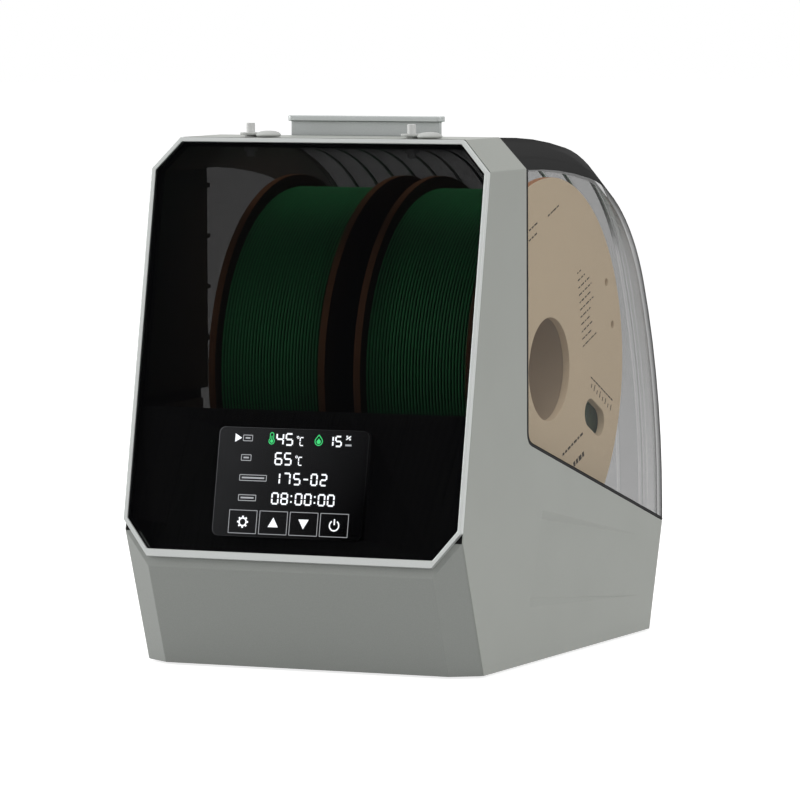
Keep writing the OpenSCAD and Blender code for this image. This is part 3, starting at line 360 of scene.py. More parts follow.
# ---- Nose cover --------------------------------------------------------------------------------
# The lower front cover: a separate thin moulding that closes the housing under the panel. It is
# pushed up between the housing's cheeks and sprayed with the same silver, given here as a darker
# copy: painted shade on a face that looks forward and down.

# the housing's silver made darker and a little rougher: painted shade on the cover's forward and downward
# face
shaded_silver = finished(
    "dull_silver_paint", linear(139, 142, 138), 0.46, size=0.00035, contrast=0.07, bump=0.06,
    metallic=0.2,
)
softened(
    "nose_cover", "lower_front_cover", "housing", shaded_silver,
    edge=0.0004, steps=3, corner=12,
)

# ---- Underside ---------------------------------------------------------------------------------
# A black base plate with cooling slots closes the housing. Four cross-head screws pull it up
# against the tray's posts, and four round rubber feet are pressed into its pockets.

black_moulding = finished("black_moulding", linear(30, 30, 31), 0.55, size=0.0004, contrast=0.12, bump=0.25)
softened("base_plate", "bottom_plate", "housing", black_moulding, edge=0.0003)
rubber = finished(
    "black_rubber", linear(24, 24, 25), 0.8, size=0.0003, contrast=0.2, bump=0.4, specular=0.3
)
softened("feet", "rubber_feet", "housing", rubber, edge=0.0003)
steel = finished(
    "plain_steel", linear(186, 187, 190), 0.3, size=0.0004, contrast=0.08, bump=0.08,
    metallic=1.0, stretch=(0.08, 1, 1),
)
softened("base_screws", "plate_screws", "housing", steel, edge=0.00012)

# ---- Heating and electronics -------------------------------------------------------------------
# An 80 mm fan blows up through a finned aluminium heater into the chamber. The control board and
# the power board stand on spacers on each side of it, out of the warm air.

softened("fan_frame", "fan_housing", "housing", black_moulding, edge=0.0003)
fan_black = finished("fan_black", linear(38, 38, 40), 0.4, size=0.0006, contrast=0.08, bump=0.05)
softened("fan_rotor", "fan_wheel", "fan", fan_black, edge=0.00025)
aluminium = finished(
    "mill_aluminium", linear(200, 201, 204), 0.34, size=0.0005, contrast=0.06, bump=0.12,
    metallic=1.0, stretch=(1, 0.05, 1),
)
softened("heater_block", "heater_fins", "housing", aluminium, edge=0.0002)

board_top = 0.00895


def populated(name, mask, copper, body_colour):
    """A circuit board's finish: lacquer over copper tracks below, moulded parts above its face"""
    finish, shader = coated(name, mask, 0.36)
    tree = finish.node_tree
    place = tree.nodes.new("ShaderNodeTexCoord")
    tracks = tree.nodes.new("ShaderNodeTexBrick")
    tracks.inputs["Scale"].default_value = 160
    tracks.inputs["Mortar Size"].default_value = 0.09
    tracks.inputs["Color1"].default_value = (*mask, 1)
    tracks.inputs["Color2"].default_value = (*(c * 0.86 for c in mask), 1)
    tracks.inputs["Mortar"].default_value = (*copper, 1)
    tree.links.new(place.outputs["Object"], tracks.inputs["Vector"])
    split = tree.nodes.new("ShaderNodeSeparateXYZ")
    tree.links.new(place.outputs["Object"], split.inputs["Vector"])
    above = tree.nodes.new("ShaderNodeMath")
    above.operation = "GREATER_THAN"
    above.inputs[1].default_value = board_top
    tree.links.new(split.outputs["Z"], above.inputs[0])
    mix = tree.nodes.new("ShaderNodeMix")
    mix.data_type = "RGBA"
    mix.inputs["B"].default_value = (*body_colour, 1)
    tree.links.new(above.outputs["Value"], mix.inputs["Factor"])
    tree.links.new(tracks.outputs["Color"], mix.inputs["A"])
    tree.links.new(mix.outputs["Result"], shader.inputs["Base Color"])
    return finish


green_board = populated("green_board", linear(22, 84, 48), linear(60, 120, 70), linear(34, 34, 36))
amber_board = populated("power_board_green", linear(30, 92, 52), linear(74, 128, 76), linear(52, 48, 40))
softened("control_board", "control_circuit", "housing", green_board, edge=0.0002)
softened("power_board", "power_circuit", "housing", amber_board, edge=0.0002)

# ---- Drying chamber ----------------------------------------------------------------------------
# A vacuum-formed black tray lines the chamber and hides the electronics. Warm air comes up through
# the slotted grille and returns through the slots by the rear wall, past the humidity sensor.

tray_black = finished("tray_black", linear(26, 26, 27), 0.48, size=0.0005, contrast=0.15, bump=0.3)
softened("chamber_tray", "chamber_liner", "housing", tray_black, edge=0.0004, corner=14)
softened("air_grille", "warm_air_grille", "housing", black_moulding, edge=0.0003)
softened("humidity_sensor", "sensor_housing", "housing", black_moulding, edge=0.0003)

# ---- Rollers -----------------------------------------------------------------------------------
# Each spool stands on two moulded rollers with a tread under each flange. They turn on shielded
# ball bearings over two ground steel axles, which are pressed into three black ears each.

softened("roller_brackets", "axle_brackets", "housing", black_moulding, edge=0.0003)
softened("roller_axles", "axles", "housing", steel, edge=0.0003)
bearing_steel = finished(
    "bearing_steel", linear(192, 192, 196), 0.22, size=0.0003, contrast=0.06, bump=0.04, metallic=1.0
)
roller_black = finished(
    "roller_black", linear(34, 34, 36), 0.5, size=0.00045, contrast=0.12, bump=0.2,
    stretch=(1, 0.3, 0.3),
)
for row in ("front", "rear"):
    for side in ("left", "right"):
        roller, bearings = f"roller_{row}_{side}", f"bearings_{row}_{side}"
        softened(roller, f"spool_{roller}", roller, roller_black, edge=0.0002)
        softened(bearings, f"ball_{bearings}", "housing", bearing_steel, edge=0.00008)

# ---- Mains inlet and switch --------------------------------------------------------------------
# Both are bought parts that snap into the rear wall, moulded in glossy black: an open socket with
# three nickel-plated pins, and a switch frame whose rocker tilts on a pin.

gloss_black = finished("gloss_black", linear(22, 22, 23), 0.28, size=0.0006, contrast=0.1, bump=0.05)
nickel = finished(
    "nickel_plate", linear(205, 200, 186), 0.25, size=0.0004, contrast=0.05, bump=0.05, metallic=1.0
)
socket = softened("power_inlet", "mains_socket", "housing", gloss_black, edge=0.0002)
socket.data.materials.append(nickel)
pins_half_width, pins_half_height, pins_root, pins_tip = 8.5, 5.5, -14.9, -6.5
from_wall = (rear_face @ millimetres).inverted()
for face in socket.data.polygons:
    spot = from_wall @ face.center
    at_pins = abs(spot.x + inlet_x) < pins_half_width and abs(spot.y - power_y) < pins_half_height
    if at_pins and pins_root < spot.z < pins_tip:
        face.material_index = 1
softened("switch_housing", "switch_frame", "housing", gloss_black, edge=0.00025)
softened("switch_rocker", "switch_key", "rocker", gloss_black, edge=0.00025)

# ---- Seat frame --------------------------------------------------------------------------------
# A black inner frame under the strip. It blanks the inside of the strip and carries the front edge
# of the hood, and its small clips line the hood's side edges.

softened("hood_seat_frame", "strip_frame", "housing", black_moulding, edge=0.0003)

# ---- Front panel -------------------------------------------------------------------------------
# A tinted acrylic panel is bonded into the window of the housing, inside a bright frame that is
# clipped over its edge. A black sheet behind its lower part leaves a clear window on the spools.

bright = finished(
    "bright_frame_paint", linear(198, 201, 199), 0.3, size=0.0003, contrast=0.04, bump=0.03,
    metallic=0.35,
)
softened("front_bezel", "panel_frame", "housing", bright, edge=0.0004, steps=3)


def tinted(finish, shader, alpha):
    """Lets a finish be seen through, and lets the light of the lamps through as well"""
    shader.inputs["Alpha"].default_value = alpha
    tree = finish.node_tree
    output = tree.nodes["Material Output"]
    path = tree.nodes.new("ShaderNodeLightPath")
    clear = tree.nodes.new("ShaderNodeBsdfTransparent")
    surface = shader.outputs["BSDF"]
    for kind in ("Is Diffuse Ray", "Is Shadow Ray"):
        choice = tree.nodes.new("ShaderNodeMixShader")
        tree.links.new(path.outputs[kind], choice.inputs["Fac"])
        tree.links.new(surface, choice.inputs[1])
        tree.links.new(clear.outputs["BSDF"], choice.inputs[2])
        surface = choice.outputs["Shader"]
    tree.links.new(surface, output.inputs["Surface"])


tint, shader = coated("dark_acrylic", linear(2, 2, 3), 0.05, specular=0.02)
grained(tint, shader, size=0.02, contrast=0.1, bump=0.0, gloss=0.02)
tinted(tint, shader, alpha=0.765)
softened("front_panel", "tinted_panel", "housing", tint, edge=0.0002)
print_black = finished(
    "backing_print", linear(9, 9, 10), 0.7, size=0.0008, contrast=0.2, bump=0.05, specular=0.2
)
softened("panel_backing", "window_mask", "housing", print_black, edge=0.0001)

# ---- Display and keys --------------------------------------------------------------------------
# A small lit display behind the panel, over a board with four touch keys. What it shows is bright
# on the panel: seven-segment numbers, a thermometer, a drop and the marks of the four keys.

display_black = finished("display_black", linear(18, 18, 19), 0.4, size=0.0008, contrast=0.08, bump=0.04)
softened("display_module", "display_unit", "housing", display_black, edge=0.0002)
softened("touch_board", "touch_key_board", "housing", green_board, edge=0.0001)

mark_depth, film_depth = 0.0004, 0.00292
panel_face = panel_plane @ Matrix.Translation((0, 0, -mark_depth))
film_face = panel_plane @ Matrix.Translation((0, 0, -film_depth))


def bench(name):
    """Starts an empty sheet to lay thin marks on, in millimetres, x across and y up"""
    bpy.ops.object.select_all(action="DESELECT")
    bpy.ops.mesh.primitive_plane_add(size=1)
    sheet = bpy.context.object
    sheet.name = name
    bpy.ops.object.mode_set(mode="EDIT")
    bpy.ops.mesh.select_all(action="SELECT")
    bpy.ops.mesh.delete(type="VERT")
    return sheet


mark_height = 0.08


def strip(x0, y0, x1, y1, width):
    """Lays a straight bar from one point to another"""
    turn = pi / 2 if abs(x1 - x0) < 0.0001 else atan((y1 - y0) / (x1 - x0))
    bpy.ops.mesh.primitive_cube_add(
        size=1,
        location=((x0 + x1) / 2, (y0 + y1) / 2, mark_height / 2),
        rotation=(0, 0, turn),
        scale=(hypot(x1 - x0, y1 - y0), width, mark_height),
    )


def disc(x, y, radius, corners=24, turn=0.0):
    """Lays a round disc, or a regular polygon with its first corner at that turn"""
    bpy.ops.mesh.primitive_cylinder_add(
        vertices=corners, radius=radius, depth=mark_height, location=(x, y, mark_height / 2),
        rotation=(0, 0, radians(turn - 90)),
    )


def ring(x, y, radius, width, sides=20, first=0.0, last=360.0):
    """Lays a ring, or a part of one, of straight bars"""
    for i in range(sides):
        a, b = (radians(first + (last - first) * k / sides) for k in (i, i + 1))
        strip(x + radius * cos(a), y + radius * sin(a), x + radius * cos(b), y + radius * sin(b), width)


def outline(x0, y0, x1, y1, width):
    """Lays the outline of a rectangle"""
    for a, b in (((x0, y0), (x1, y0)), ((x0, y1), (x1, y1)), ((x0, y0), (x0, y1)), ((x1, y0), (x1, y1))):
        strip(*a, *b, width)


SEGMENTS = {
    "0": "abcdef", "1": "bc", "2": "abged", "4": "fgbc",
    "5": "afgcd", "6": "afgedc", "7": "abc", "8": "abcdefg", "C": "adef",
}


def digit(mark, x0, x1, y0, y1, width=0.85):
    """Lays a seven-segment character in the box from x0, y0 to x1, y1"""
    h = width / 2
    left, right, low, high, middle = x0 + h, x1 - h, y0 + h, y1 - h, (y0 + y1) / 2
    ends = {
        "a": (left, high, right, high), "b": (right, middle, right, high), "c": (right, low, right, middle),
        "d": (left, low, right, low), "e": (left, low, left, middle), "f": (left, middle, left, high),
        "g": (left, middle, right, middle),
    }
    gap = width * 0.3
    for key in SEGMENTS[mark]:
        ax, ay, bx, by = ends[key]
        if ay == by:
            strip(ax + gap, ay, bx - gap, by, width)
        else:
            strip(ax, ay + gap, bx, by - gap, width)


def laid(sheet, place, finish, body):
    """Softens the marks on a bench, and sets them in their place on the object"""
    bpy.ops.mesh.select_all(action="SELECT")
    bpy.ops.mesh.normals_make_consistent(inside=False)
    bpy.ops.object.mode_set(mode="OBJECT")
    soft = sheet.modifiers.new("soft_edges", "BEVEL")
    soft.width = 0.02
    soft.segments = 1
    bpy.ops.object.modifier_apply(modifier=soft.name)
    sheet.data.transform(place @ millimetres)
    sheet.data.materials.clear()
    sheet.data.materials.append(finish)
    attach(sheet, body)


def glowing(name, colour, strength):
    """A mark that is lit from behind, with a slightly uneven light"""
    finish, shader = coated(name, tuple(c * 0.5 for c in colour), 0.4, specular=0.1)
    grained(finish, shader, size=0.0015, contrast=0.1, bump=0.0)
    shader.inputs["Emission Color"].default_value = (*colour, 1)
    shader.inputs["Emission Strength"].default_value = strength
    return finish


backlight, shader = coated("display_backlight", linear(6, 6, 6), 0.5, specular=0.0)
shader.inputs["Emission Color"].default_value = (*linear(86, 87, 89), 1)
tree = backlight.node_tree
place = tree.nodes.new("ShaderNodeTexCoord")
# the light is strongest at the upper left and fades over 90 mm towards the lower right
slope = tree.nodes.new("ShaderNodeMapping")
slope.vector_type = "TEXTURE"
slope.inputs["Location"].default_value = (-0.046, 0, 0.12)
slope.inputs["Rotation"].default_value = (0, radians(32), 0)
slope.inputs["Scale"].default_value = (0.09, 1, 1)
fade = tree.nodes.new("ShaderNodeTexGradient")
dimmer = tree.nodes.new("ShaderNodeMapRange")
dimmer.inputs["To Min"].default_value = 1.0
dimmer.inputs["To Max"].default_value = 0.0
mottle = tree.nodes.new("ShaderNodeTexNoise")
mottle.inputs["Scale"].default_value = 60
uneven = tree.nodes.new("ShaderNodeMapRange")
uneven.inputs["To Min"].default_value = 0.85
uneven.inputs["To Max"].default_value = 1.15
glow = tree.nodes.new("ShaderNodeMath")
glow.operation = "MULTIPLY"
tree.links.new(place.outputs["Object"], slope.inputs["Vector"])
tree.links.new(slope.outputs["Vector"], fade.inputs["Vector"])
tree.links.new(fade.outputs["Fac"], dimmer.inputs["Value"])
tree.links.new(place.outputs["Object"], mottle.inputs["Vector"])
tree.links.new(mottle.outputs["Fac"], uneven.inputs["Value"])
tree.links.new(dimmer.outputs["Result"], glow.inputs[0])
tree.links.new(uneven.outputs["Result"], glow.inputs[1])
tree.links.new(glow.outputs["Value"], shader.inputs["Emission Strength"])

film_middle, film_size, film_corner = (-1.6, 39.8, 0), (83.6, 55.4, 0.06), 3.2
film = bench("display_film")
bpy.ops.mesh.primitive_cube_add(size=1, location=film_middle, scale=film_size)
bpy.ops.object.mode_set(mode="OBJECT")
for edge in film.data.edges:
    first, second = (film.data.vertices[i].co for i in edge.vertices)
    edge.select = abs(first.z - second.z) > 0.01
for part in (*film.data.vertices, *film.data.polygons):
    part.select = False
bpy.ops.object.mode_set(mode="EDIT")
bpy.ops.mesh.select_mode(type="EDGE")
bpy.ops.mesh.bevel(offset=film_corner, segments=8, affect="EDGES")
bpy.ops.mesh.select_mode(type="VERT")
laid(film, film_face, backlight, "housing")

white_light = glowing("white_light", linear(232, 234, 238), 1.0)
green_light = glowing("green_light", linear(60, 190, 110), 1.0)
grey_print = glowing("grey_print", linear(170, 172, 176), 0.68)

# each row by its foot and top, then each character with its left and right end
number_rows = (
    (58.8, 65.3, (("4", -11.6, -7.2), ("5", -6.4, -2.0))),
    (59.0, 64.8, (("1", 16.6, 20.6), ("5", 21.3, 25.2))),
    (48.8, 55.4, (("6", -11.6, -7.2), ("5", -6.4, -2.0))),
    (38.9, 45.2, (("1", -11.4, -7.6), ("7", -6.0, -1.8), ("5", -0.4, 3.8))),
    (38.9, 45.2, (("0", 9.3, 13.3), ("2", 14.6, 18.6))),
    (28.8, 35.0, (("0", -11.8, -7.6), ("8", -6.6, -2.4))),
    (28.8, 35.0, (("0", 1.4, 5.6), ("0", 6.6, 10.8))),
    (28.8, 35.0, (("0", 14.2, 18.4), ("0", 19.4, 23.6))),
)
numbers = bench("display_numbers")
for foot, top, characters in number_rows:
    for mark, left, right in characters:
        digit(mark, left, right, foot, top)
for x in (-0.6, 12.5):
    for y in (30.4, 33.4):
        disc(x, y, 0.5, corners=12)
strip(5.4, 42.05, 8.0, 42.05, 0.8)
for y in (58.9, 48.9):
    ring(0.6, y + 4.4, 0.55, 0.35, sides=10)
    digit("C", 1.6, 4.1, y, y + 4.6, width=0.55)
strip(27.4, 62.9, 30.0, 64.7, 0.5)
ring(27.9, 64.5, 0.4, 0.3, sides=8)
ring(29.5, 63.1, 0.4, 0.3, sides=8)
disc(-33.3, 62.1, 2.5, corners=3)
laid(numbers, panel_face, white_light, "housing")

key_half_width, key_low, key_high = 7.75, 13.6, 25.3
labels = bench("display_labels")
for x0, x1, y in ((-30.0, -24.9, 62.1), (-30.3, -24.9, 52.1), (-30.4, -15.4, 41.9), (-30.2, -20.5, 31.7)):
    outline(x0, y - 1.45, x1, y + 1.45, 0.35)
    strip(x0 + 1.2, y, x1 - 1.2, y, 0.8)
strip(27.2, 60.1, 30.6, 60.1, 0.9)
for x in (-26.8, -9.7, 7.3, 24.3):
    outline(x - key_half_width, key_low, x + key_half_width, key_high, 0.28)
laid(labels, panel_face, grey_print, "housing")

# a gear wheel with eight teeth, two arrowheads, and a broken ring with a bar
gear_x, gear_y, root, tip = -26.8, 19.4, 2.2, 3.1
power_x = 24.4
key_marks = bench("key_marks")
ring(gear_x, gear_y, 2.0, 0.8, sides=18)
for k in range(8):
    x, y = cos(radians(45 * k)), sin(radians(45 * k))
    strip(gear_x + root * x, gear_y + root * y, gear_x + tip * x, gear_y + tip * y, 0.9)
disc(-9.7, 18.9, 3.3, corners=3, turn=90)
disc(7.2, 20.1, 3.3, corners=3, turn=-90)
ring(power_x, 19.3, 2.6, 0.7, sides=18, first=125, last=415)
strip(power_x, 19.6, power_x, 22.6, 0.75)
laid(key_marks, panel_face, white_light, "housing")

# a thermometer with its bulb and column, and a drop round a smaller one
bulb_x, bulb_y, bulb_line = -14.05, 60.9, 0.42
drop_x, drop_tip, drop_line = 12.25, 64.9, 0.45
icons = bench("display_icons")
ring(bulb_x, bulb_y, 1.5, bulb_line, sides=20, first=125, last=415)
ring(bulb_x, 64.3, 0.95, bulb_line, sides=10, first=0, last=180)
for x in (-15.0, -13.1):
    strip(x, 62.0, x, 64.3, bulb_line)
disc(bulb_x, bulb_y, 0.85, corners=16)
strip(bulb_x, 61.4, bulb_x, 63.6, 0.5)
ring(drop_x, 61.6, 2.05, drop_line, sides=24, first=140, last=400)
strip(10.7, 62.95, drop_x, drop_tip, drop_line)
strip(drop_x, drop_tip, 13.8, 62.95, drop_line)
disc(drop_x, 61.35, 1.15, corners=20)
disc(drop_x, 62.35, 0.85, corners=3, turn=90)
laid(icons, panel_face, green_light, "housing")

# ---- Filament outlets --------------------------------------------------------------------------
# Two white tubes through the strip, each with a collar, a nut beneath and a loose grey silicone
# cap on a strap, whose ring turns round the tube.

outlet_white = finished("outlet_white", linear(206, 207, 205), 0.35, size=0.0004, contrast=0.04, bump=0.05)
silicone, shader = coated("grey_silicone", linear(180, 182, 179), 0.55, specular=0.35)
grained(silicone, shader, size=0.0005, contrast=0.05, bump=0.1)
shader.inputs["Subsurface Weight"].default_value = 0.15
shader.inputs["Subsurface Radius"].default_value = (0.002, 0.002, 0.002)
for side in ("left", "right"):
    outlet, cap = f"outlet_{side}", f"cap_{side}"
    softened(outlet, f"filament_{outlet}", "housing", outlet_white, edge=0.0002)
    softened(cap, f"silicone_{cap}", cap, silicone, edge=0.0002, corner=40)

# ---- Spools ------------------------------------------------------------------------------------
# Two card spools: flanges punched from laminated kraft board and glued to a wound card core, each
# wound full with green filament. Their outer faces are lined with pale paper and printed; their bare
# faces show the raw board, painted darker still as shade.

spool_axis = {joint["child"]: joint["pos_m"] for joint in frame["joints"]}
spool_y, spool_z = spool_axis["spool_left"][1:]
core_radius, drum_radius, winding_radius, flange_rim = 0.0412, 0.0926, 0.0935, 0.097
card = finished(
    "kraft_board", linear(238, 216, 184), 0.8, size=0.0007, contrast=0.07, bump=0.12,
    specular=0.2, detail=6.0,
)
cut_edge = finished(
    "cut_card_edge", linear(168, 116, 80), 0.85, size=0.0005, contrast=0.22, bump=0.4,
    specular=0.15, stretch=(6, 0.3, 0.3),
)
shaded_raw_board = finished(
    "shaded_raw_board", linear(62, 48, 36), 0.9, size=0.0006, contrast=0.16, bump=0.3, specular=0.1, detail=6.0
)
core_card = finished(
    "wound_card", linear(186, 166, 140), 0.8, size=0.0006, contrast=0.14, bump=0.3,
    specular=0.2, stretch=(6, 1, 1),
)
ink = finished("dark_print", linear(70, 58, 48), 0.7, size=0.0008, contrast=0.2, bump=0.0, specular=0.2)
strand_green, shader = coated("green_filament", linear(96, 246, 148), 0.3, specular=0.15)
grained(strand_green, shader, size=0.0012, contrast=0.12, bump=0.0, stretch=(1, 0.05, 0.05))
tree = strand_green.node_tree
place = tree.nodes.new("ShaderNodeTexCoord")
from_axis = tree.nodes.new("ShaderNodeVectorMath")
from_axis.operation = "SUBTRACT"
from_axis.inputs[1].default_value = (0, spool_y, spool_z)
across_axis = tree.nodes.new("ShaderNodeVectorMath")
across_axis.operation = "MULTIPLY"
across_axis.inputs[1].default_value = (0, 1, 1)
reach = tree.nodes.new("ShaderNodeVectorMath")
reach.operation = "LENGTH"
# painted shade and highlight: the green falls to near black from each strand's crest down into the grooves
# between strands and onto the drum, and only a thin line along each crest keeps the full colour
groove_shade_crest_highlight = tree.nodes.new("ShaderNodeMapRange")
groove_shade_crest_highlight.inputs["From Min"].default_value = winding_radius - 0.0004
groove_shade_crest_highlight.inputs["From Max"].default_value = winding_radius - 0.00004
groove_shade_crest_highlight.inputs["To Min"].default_value = 0.03
groove_shade_crest_highlight.inputs["To Max"].default_value = 1.0
between = tree.nodes.new("ShaderNodeMix")
between.data_type = "RGBA"
between.blend_type = "MULTIPLY"
between.inputs["Factor"].default_value = 1.0
tree.links.new(place.outputs["Object"], from_axis.inputs[0])
tree.links.new(from_axis.outputs["Vector"], across_axis.inputs[0])
tree.links.new(across_axis.outputs["Vector"], reach.inputs[0])
tree.links.new(reach.outputs["Value"], groove_shade_crest_highlight.inputs["Value"])
tree.links.new(shader.inputs["Base Color"].links[0].from_socket, between.inputs["A"])
tree.links.new(groove_shade_crest_highlight.outputs["Result"], between.inputs["B"])
tree.links.new(between.outputs["Result"], shader.inputs["Base Color"])

strands = 33
for side in ("left", "right"):
    body = f"spool_{side}"
    low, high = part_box(f"filament_{side}")
    middle, winding_width = spool_axis[body][0], high[0] - low[0]
    pitch = winding_width / strands
    flanges = softened(
        f"spool_flanges_{side}", f"card_flanges_{side}", body, card, edge=0.0004
    )
    flanges.data.materials.append(cut_edge)
    flanges.data.materials.append(shaded_raw_board)
    outwards = -1 if side == "left" else 1
    # flat faces that are not lined, facing the winding and the gap between the spools, get the dark raw
    # board: the board's own colour, darkened as painted shade
    for face in flanges.data.polygons:
        flat = abs(face.normal.x) > 0.5
        lined = face.normal.x * outwards > 0.5 and (face.center.x - middle) * outwards > 0
        at_rim = hypot(face.center.y - spool_y, face.center.z - spool_z) > flange_rim
        if flat and not lined:
            face.material_index = 2
        if at_rim and not flat:
            face.material_index = 1
    softened(f"spool_core_{side}", f"card_core_{side}", body, core_card)

    bpy.ops.object.select_all(action="DESELECT")
    bpy.ops.mesh.primitive_torus_add(
        major_segments=144,
        minor_segments=8,
        major_radius=winding_radius - pitch / 2,
        minor_radius=pitch / 2,
        location=(middle - winding_width / 2 + pitch / 2, spool_y, spool_z),
        rotation=(0, pi / 2, 0),
    )
    winding = bpy.context.object
    winding.name = f"filament_winding_{side}"
    bpy.ops.object.transform_apply(location=True, rotation=True, scale=True)
    turns = winding.modifiers.new("turns", "ARRAY")
    turns.count = strands
    turns.use_relative_offset = False
    turns.use_constant_offset = True
    turns.constant_offset_displace = (pitch, 0, 0)
    bpy.ops.object.modifier_apply(modifier=turns.name)
    bpy.ops.object.mode_set(mode="EDIT")
    bpy.ops.mesh.select_all(action="DESELECT")
    bpy.ops.mesh.primitive_cylinder_add(
        vertices=144, radius=drum_radius, depth=winding_width - 0.0002, end_fill_type="NOTHING",
        location=(middle, spool_y, spool_z), rotation=(0, pi / 2, 0),
    )
    bpy.ops.mesh.extrude_region_move()
    inwards = core_radius / drum_radius
    bpy.ops.transform.resize(value=(1, inwards, inwards), center_override=(middle, spool_y, spool_z))
    bpy.ops.mesh.select_all(action="SELECT")
    bpy.ops.mesh.normals_make_consistent(inside=False)
    bpy.ops.object.mode_set(mode="OBJECT")
    bpy.ops.object.shade_smooth()
    winding.data.materials.append(strand_green)
    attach(winding, body)
    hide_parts(f"filament_{side}")


def dashed(x, y, length, height, gap, next_dash):
    """Lays a row of dashes that rises across the card; next_dash gives each one's length"""
    across, up = 0.946, 0.325
    start, count = 0.0, 0
    while start < length - 1:
        end = start + min(next_dash(count, start), length - start)
        strip(x + across * start, y + up * start, x + across * end, y + up * end, height)
        start = end + gap
        count += 1


# in millimetres from the spool's axis: a block of short rows, the rows apart from it, two bands of ticks
row_lengths = (5, 10, 17, 18, 16, 19, 14, 12, 15, 13, 20)
word_lengths = (1.6, 3.4, 2.4, 4.2)
# where each starts, its length and its height
single_rows = (
    (-1.8, 80.0, 17, 0.9),
    (-26.8, 73.4, 12, 0.9),
    (-26.8, 68.2, 11, 0.9),
    (17.1, -46.3, 31, 1.3),
    (31.8, -52.7, 17, 2.6),
)
for side in ("left", "right"):
    face_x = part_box(f"spool_flanges_{side}")[1][0]
    prints = bench(f"spool_print_{side}")
    for k, length in enumerate(row_lengths):
        row_x, row_y = 37.5 + 0.75 * k, 48.0 - 3.9 * k
        dashed(row_x, row_y, length, 0.75, 1.3, lambda count, start: word_lengths[(k + count) % 4])
    for x, y, length, height in single_rows:
        dashed(x, y, length, height, 1.2, lambda count, start: 2.6 + 1.2 * (int(start) % 3))
    for k in range(9):
        x, y = 55.9 + 3.4 * k, -7.9 - 1.66 * k
        strip(x, y, x + 2.6, y - 1.27, 0.8)
    for k in range(8):
        x, y = 56.3 + 3.73 * k, -13.6 - 2.01 * k
        tick = 3.4 if k % 2 else 2.2
        strip(x, y, x + 0.44 * tick, y + 0.9 * tick, 0.8)
    card_face = Matrix(((0, 0, 1, face_x), (1, 0, 0, spool_y), (0, 1, 0, spool_z), (0, 0, 0, 1)))
    laid(prints, card_face, ink, f"spool_{side}")

# ---- Hinges ------------------------------------------------------------------------------------
# Two barrel hinges on the rear wall: outer barrels on the housing, the middle one on the hood, and
# a steel pin through the three.

softened("hinge_base", "hinge_knuckles_housing", "housing", silver, edge=0.0003)
softened("hinge_pins", "hinge_pin_pair", "housing", steel, edge=0.0002)
softened("hinge_hood", "hinge_knuckles_hood", "hood", black_moulding, edge=0.0003)

# ---- Hood --------------------------------------------------------------------------------------
# One smoke-tinted polycarbonate moulding with fine grooves inside its top and back. It grows more
# opaque where it is seen slantwise; painted shade makes it darker and more opaque along its rims, on
# its slopes and over its top and back, and a painted lighter grey lies on the insides of its slopes.
# Its slopes and top take a copy of the finish with no reflection. A black seal is bonded round its
# lower and front edges.

smoke, shader = coated("smoke_polycarbonate", linear(70, 70, 72), 0.12, specular=0.05)
tinted(smoke, shader, alpha=1.0)
tree = smoke.node_tree


def ramped(tree, value, stops):
    """Turns a value into another by straight lines between stops, of which the first two are the ends"""
    curve = tree.nodes.new("ShaderNodeValToRGB")
    steps = curve.color_ramp.elements
    for i, (spot, height) in enumerate(stops):
        step = steps[i] if i < 2 else steps.new(spot)
        step.position = spot
        step.color = (height, height, height, 1)
    tree.links.new(value, curve.inputs["Fac"])
    return curve.outputs["Color"]


def combined(tree, kind, first, second):
    """Joins two values, each a socket or a number, by one operation"""
    joined = tree.nodes.new("ShaderNodeMath")
    joined.operation = kind
    for socket, value in zip(joined.inputs, (first, second)):
        if isinstance(value, (int, float)):
            socket.default_value = value
        else:
            tree.links.new(value, socket)
    return joined.outputs["Value"]


# the first attribute makes the hood more opaque towards its rims, on its slopes and over its top and back,
# and the second sets its grey and tells its side walls from its top and back: painted shade, with painted
# light on the insides of the slopes
faced = {}
for key in ("painted_shade_opacity", "painted_shade_tone"):
    node = tree.nodes.new("ShaderNodeAttribute")
    node.attribute_name = key
    faced[key] = node.outputs["Fac"]
slant = tree.nodes.new("ShaderNodeLayerWeight")
slant.inputs["Blend"].default_value = 0.5
slant_stops = ((0.0, 0.16), (1.0, 1.0), (0.6, 0.24), (0.8, 0.5), (0.93, 0.93))
through = ramped(tree, slant.outputs["Facing"], slant_stops)
place = tree.nodes.new("ShaderNodeTexCoord")
split = tree.nodes.new("ShaderNodeSeparateXYZ")
tree.links.new(place.outputs["Object"], split.inputs["Vector"])
half_groove_pitch = 0.00635
from_groove = combined(tree, "PINGPONG", split.outputs["X"], half_groove_pitch)
from_groove = combined(tree, "DIVIDE", from_groove, half_groove_pitch)
lines = ramped(tree, from_groove, ((0.0, 0.16), (0.1, 0.0)))
lines = combined(tree, "MULTIPLY", lines, ramped(tree, faced["painted_shade_tone"], ((0.4, 1.0), (0.7, 0.0))))
rims = combined(tree, "POWER", faced["painted_shade_opacity"], 1.6)
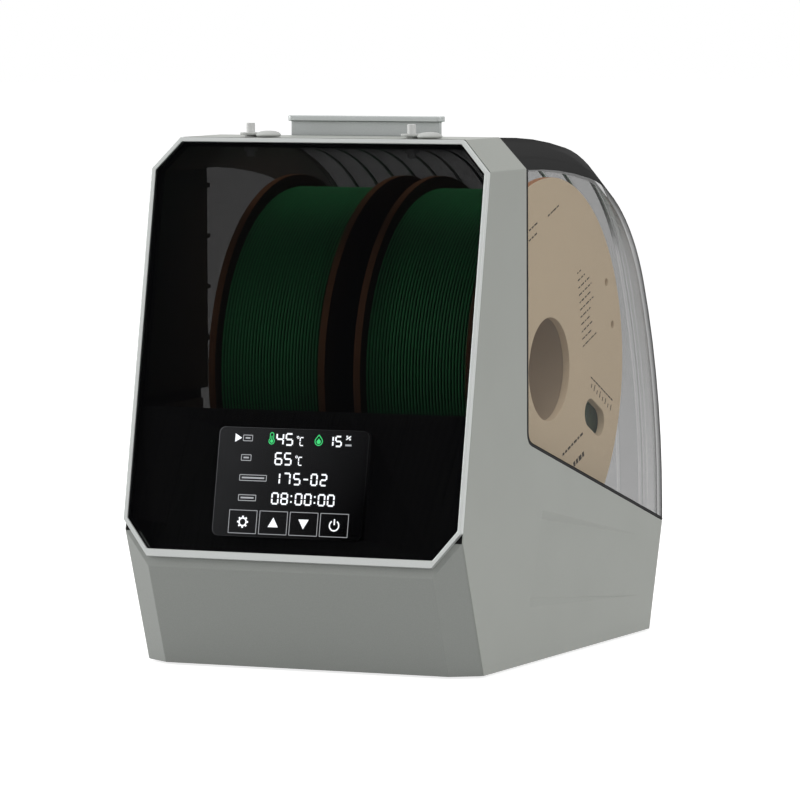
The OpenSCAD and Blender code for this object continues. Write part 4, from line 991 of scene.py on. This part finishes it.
opaque = combined(tree, "ADD", combined(tree, "MAXIMUM", through, rims), lines)
tree.links.new(combined(tree, "MINIMUM", opaque, 1.0), shader.inputs["Alpha"])
# the hood's grey by the second attribute: nearly black on the top and back, 70 on the side walls and 130 on
# the insides of the slopes, as painted shade and painted light
greys = ((0.0, 16), (1.0, 130), (0.5, 50), (0.85, 70))
grey_stops = [(spot, linear(grey, grey, grey)[0]) for spot, grey in greys]
tree.links.new(ramped(tree, faced["painted_shade_tone"], grey_stops), shader.inputs["Base Color"])
smoke_edge = smoke.copy()
smoke_edge.name = "smoke_polycarbonate_edge"
smoke_edge.node_tree.nodes["Principled BSDF"].inputs["Specular IOR Level"].default_value = 0.0

hood = softened("hood_shell", "smoke_hood", "hood", smoke, edge=0.0004, corner=20, smooth=20)
hood.data.materials.append(smoke_edge)
rim_start, rim_width = 0.0865, 0.0075
nearly_flat, nearly_upright, steep = 0.2, 0.97, 0.45
lean_start, lean_width = 0.38, 0.2
painted_shade_opacity, painted_shade_tone = [], []
# per corner, painted shade: more opaque near the rims and where the slopes turn up, half opaque over the
# top and back, with the insides of the slopes painted lighter
for face in hood.data.polygons:
    across, up = abs(face.normal.x), abs(face.normal.z)
    sloped = nearly_flat < across < nearly_upright
    inner = face.normal.x * face.center.x < 0
    if sloped or up > steep:
        face.material_index = 1
    for i in face.loop_indices:
        normal = hood.data.corner_normals[i].vector
        point = hood.data.vertices[hood.data.loops[i].vertex_index].co
        rim = min(max((abs(point.x) - rim_start) / rim_width, 0), 1)
        high = min(max((abs(normal.z) - lean_start) / lean_width, 0), 1)
        if sloped:
            painted_shade_opacity.append(max(rim, 0.97 * high))
            painted_shade_tone.append(1.0 if inner else 0.56 * high)
        else:
            painted_shade_opacity.append(0.5 if across < nearly_flat else 0.0)
            painted_shade_tone.append(0.85 * abs(normal.x))
for key, values in (("painted_shade_opacity", painted_shade_opacity), ("painted_shade_tone", painted_shade_tone)):
    layer = hood.data.attributes.new(key, "FLOAT", "CORNER")
    layer.data.foreach_set("value", values)
softened("hood_seal", "hood_edge_seal", "hood", rubber)

# ---- Handle ------------------------------------------------------------------------------------
# A silver grip plate on a narrow web, bonded across the top of the hood behind the strip.

handle_silver = finished(
    "handle_paint", linear(192, 196, 195), 0.36, size=0.0003, contrast=0.06, bump=0.05, metallic=0.3
)
softened("hood_handle", "lifting_handle", "hood", handle_silver, edge=0.0004, steps=3)
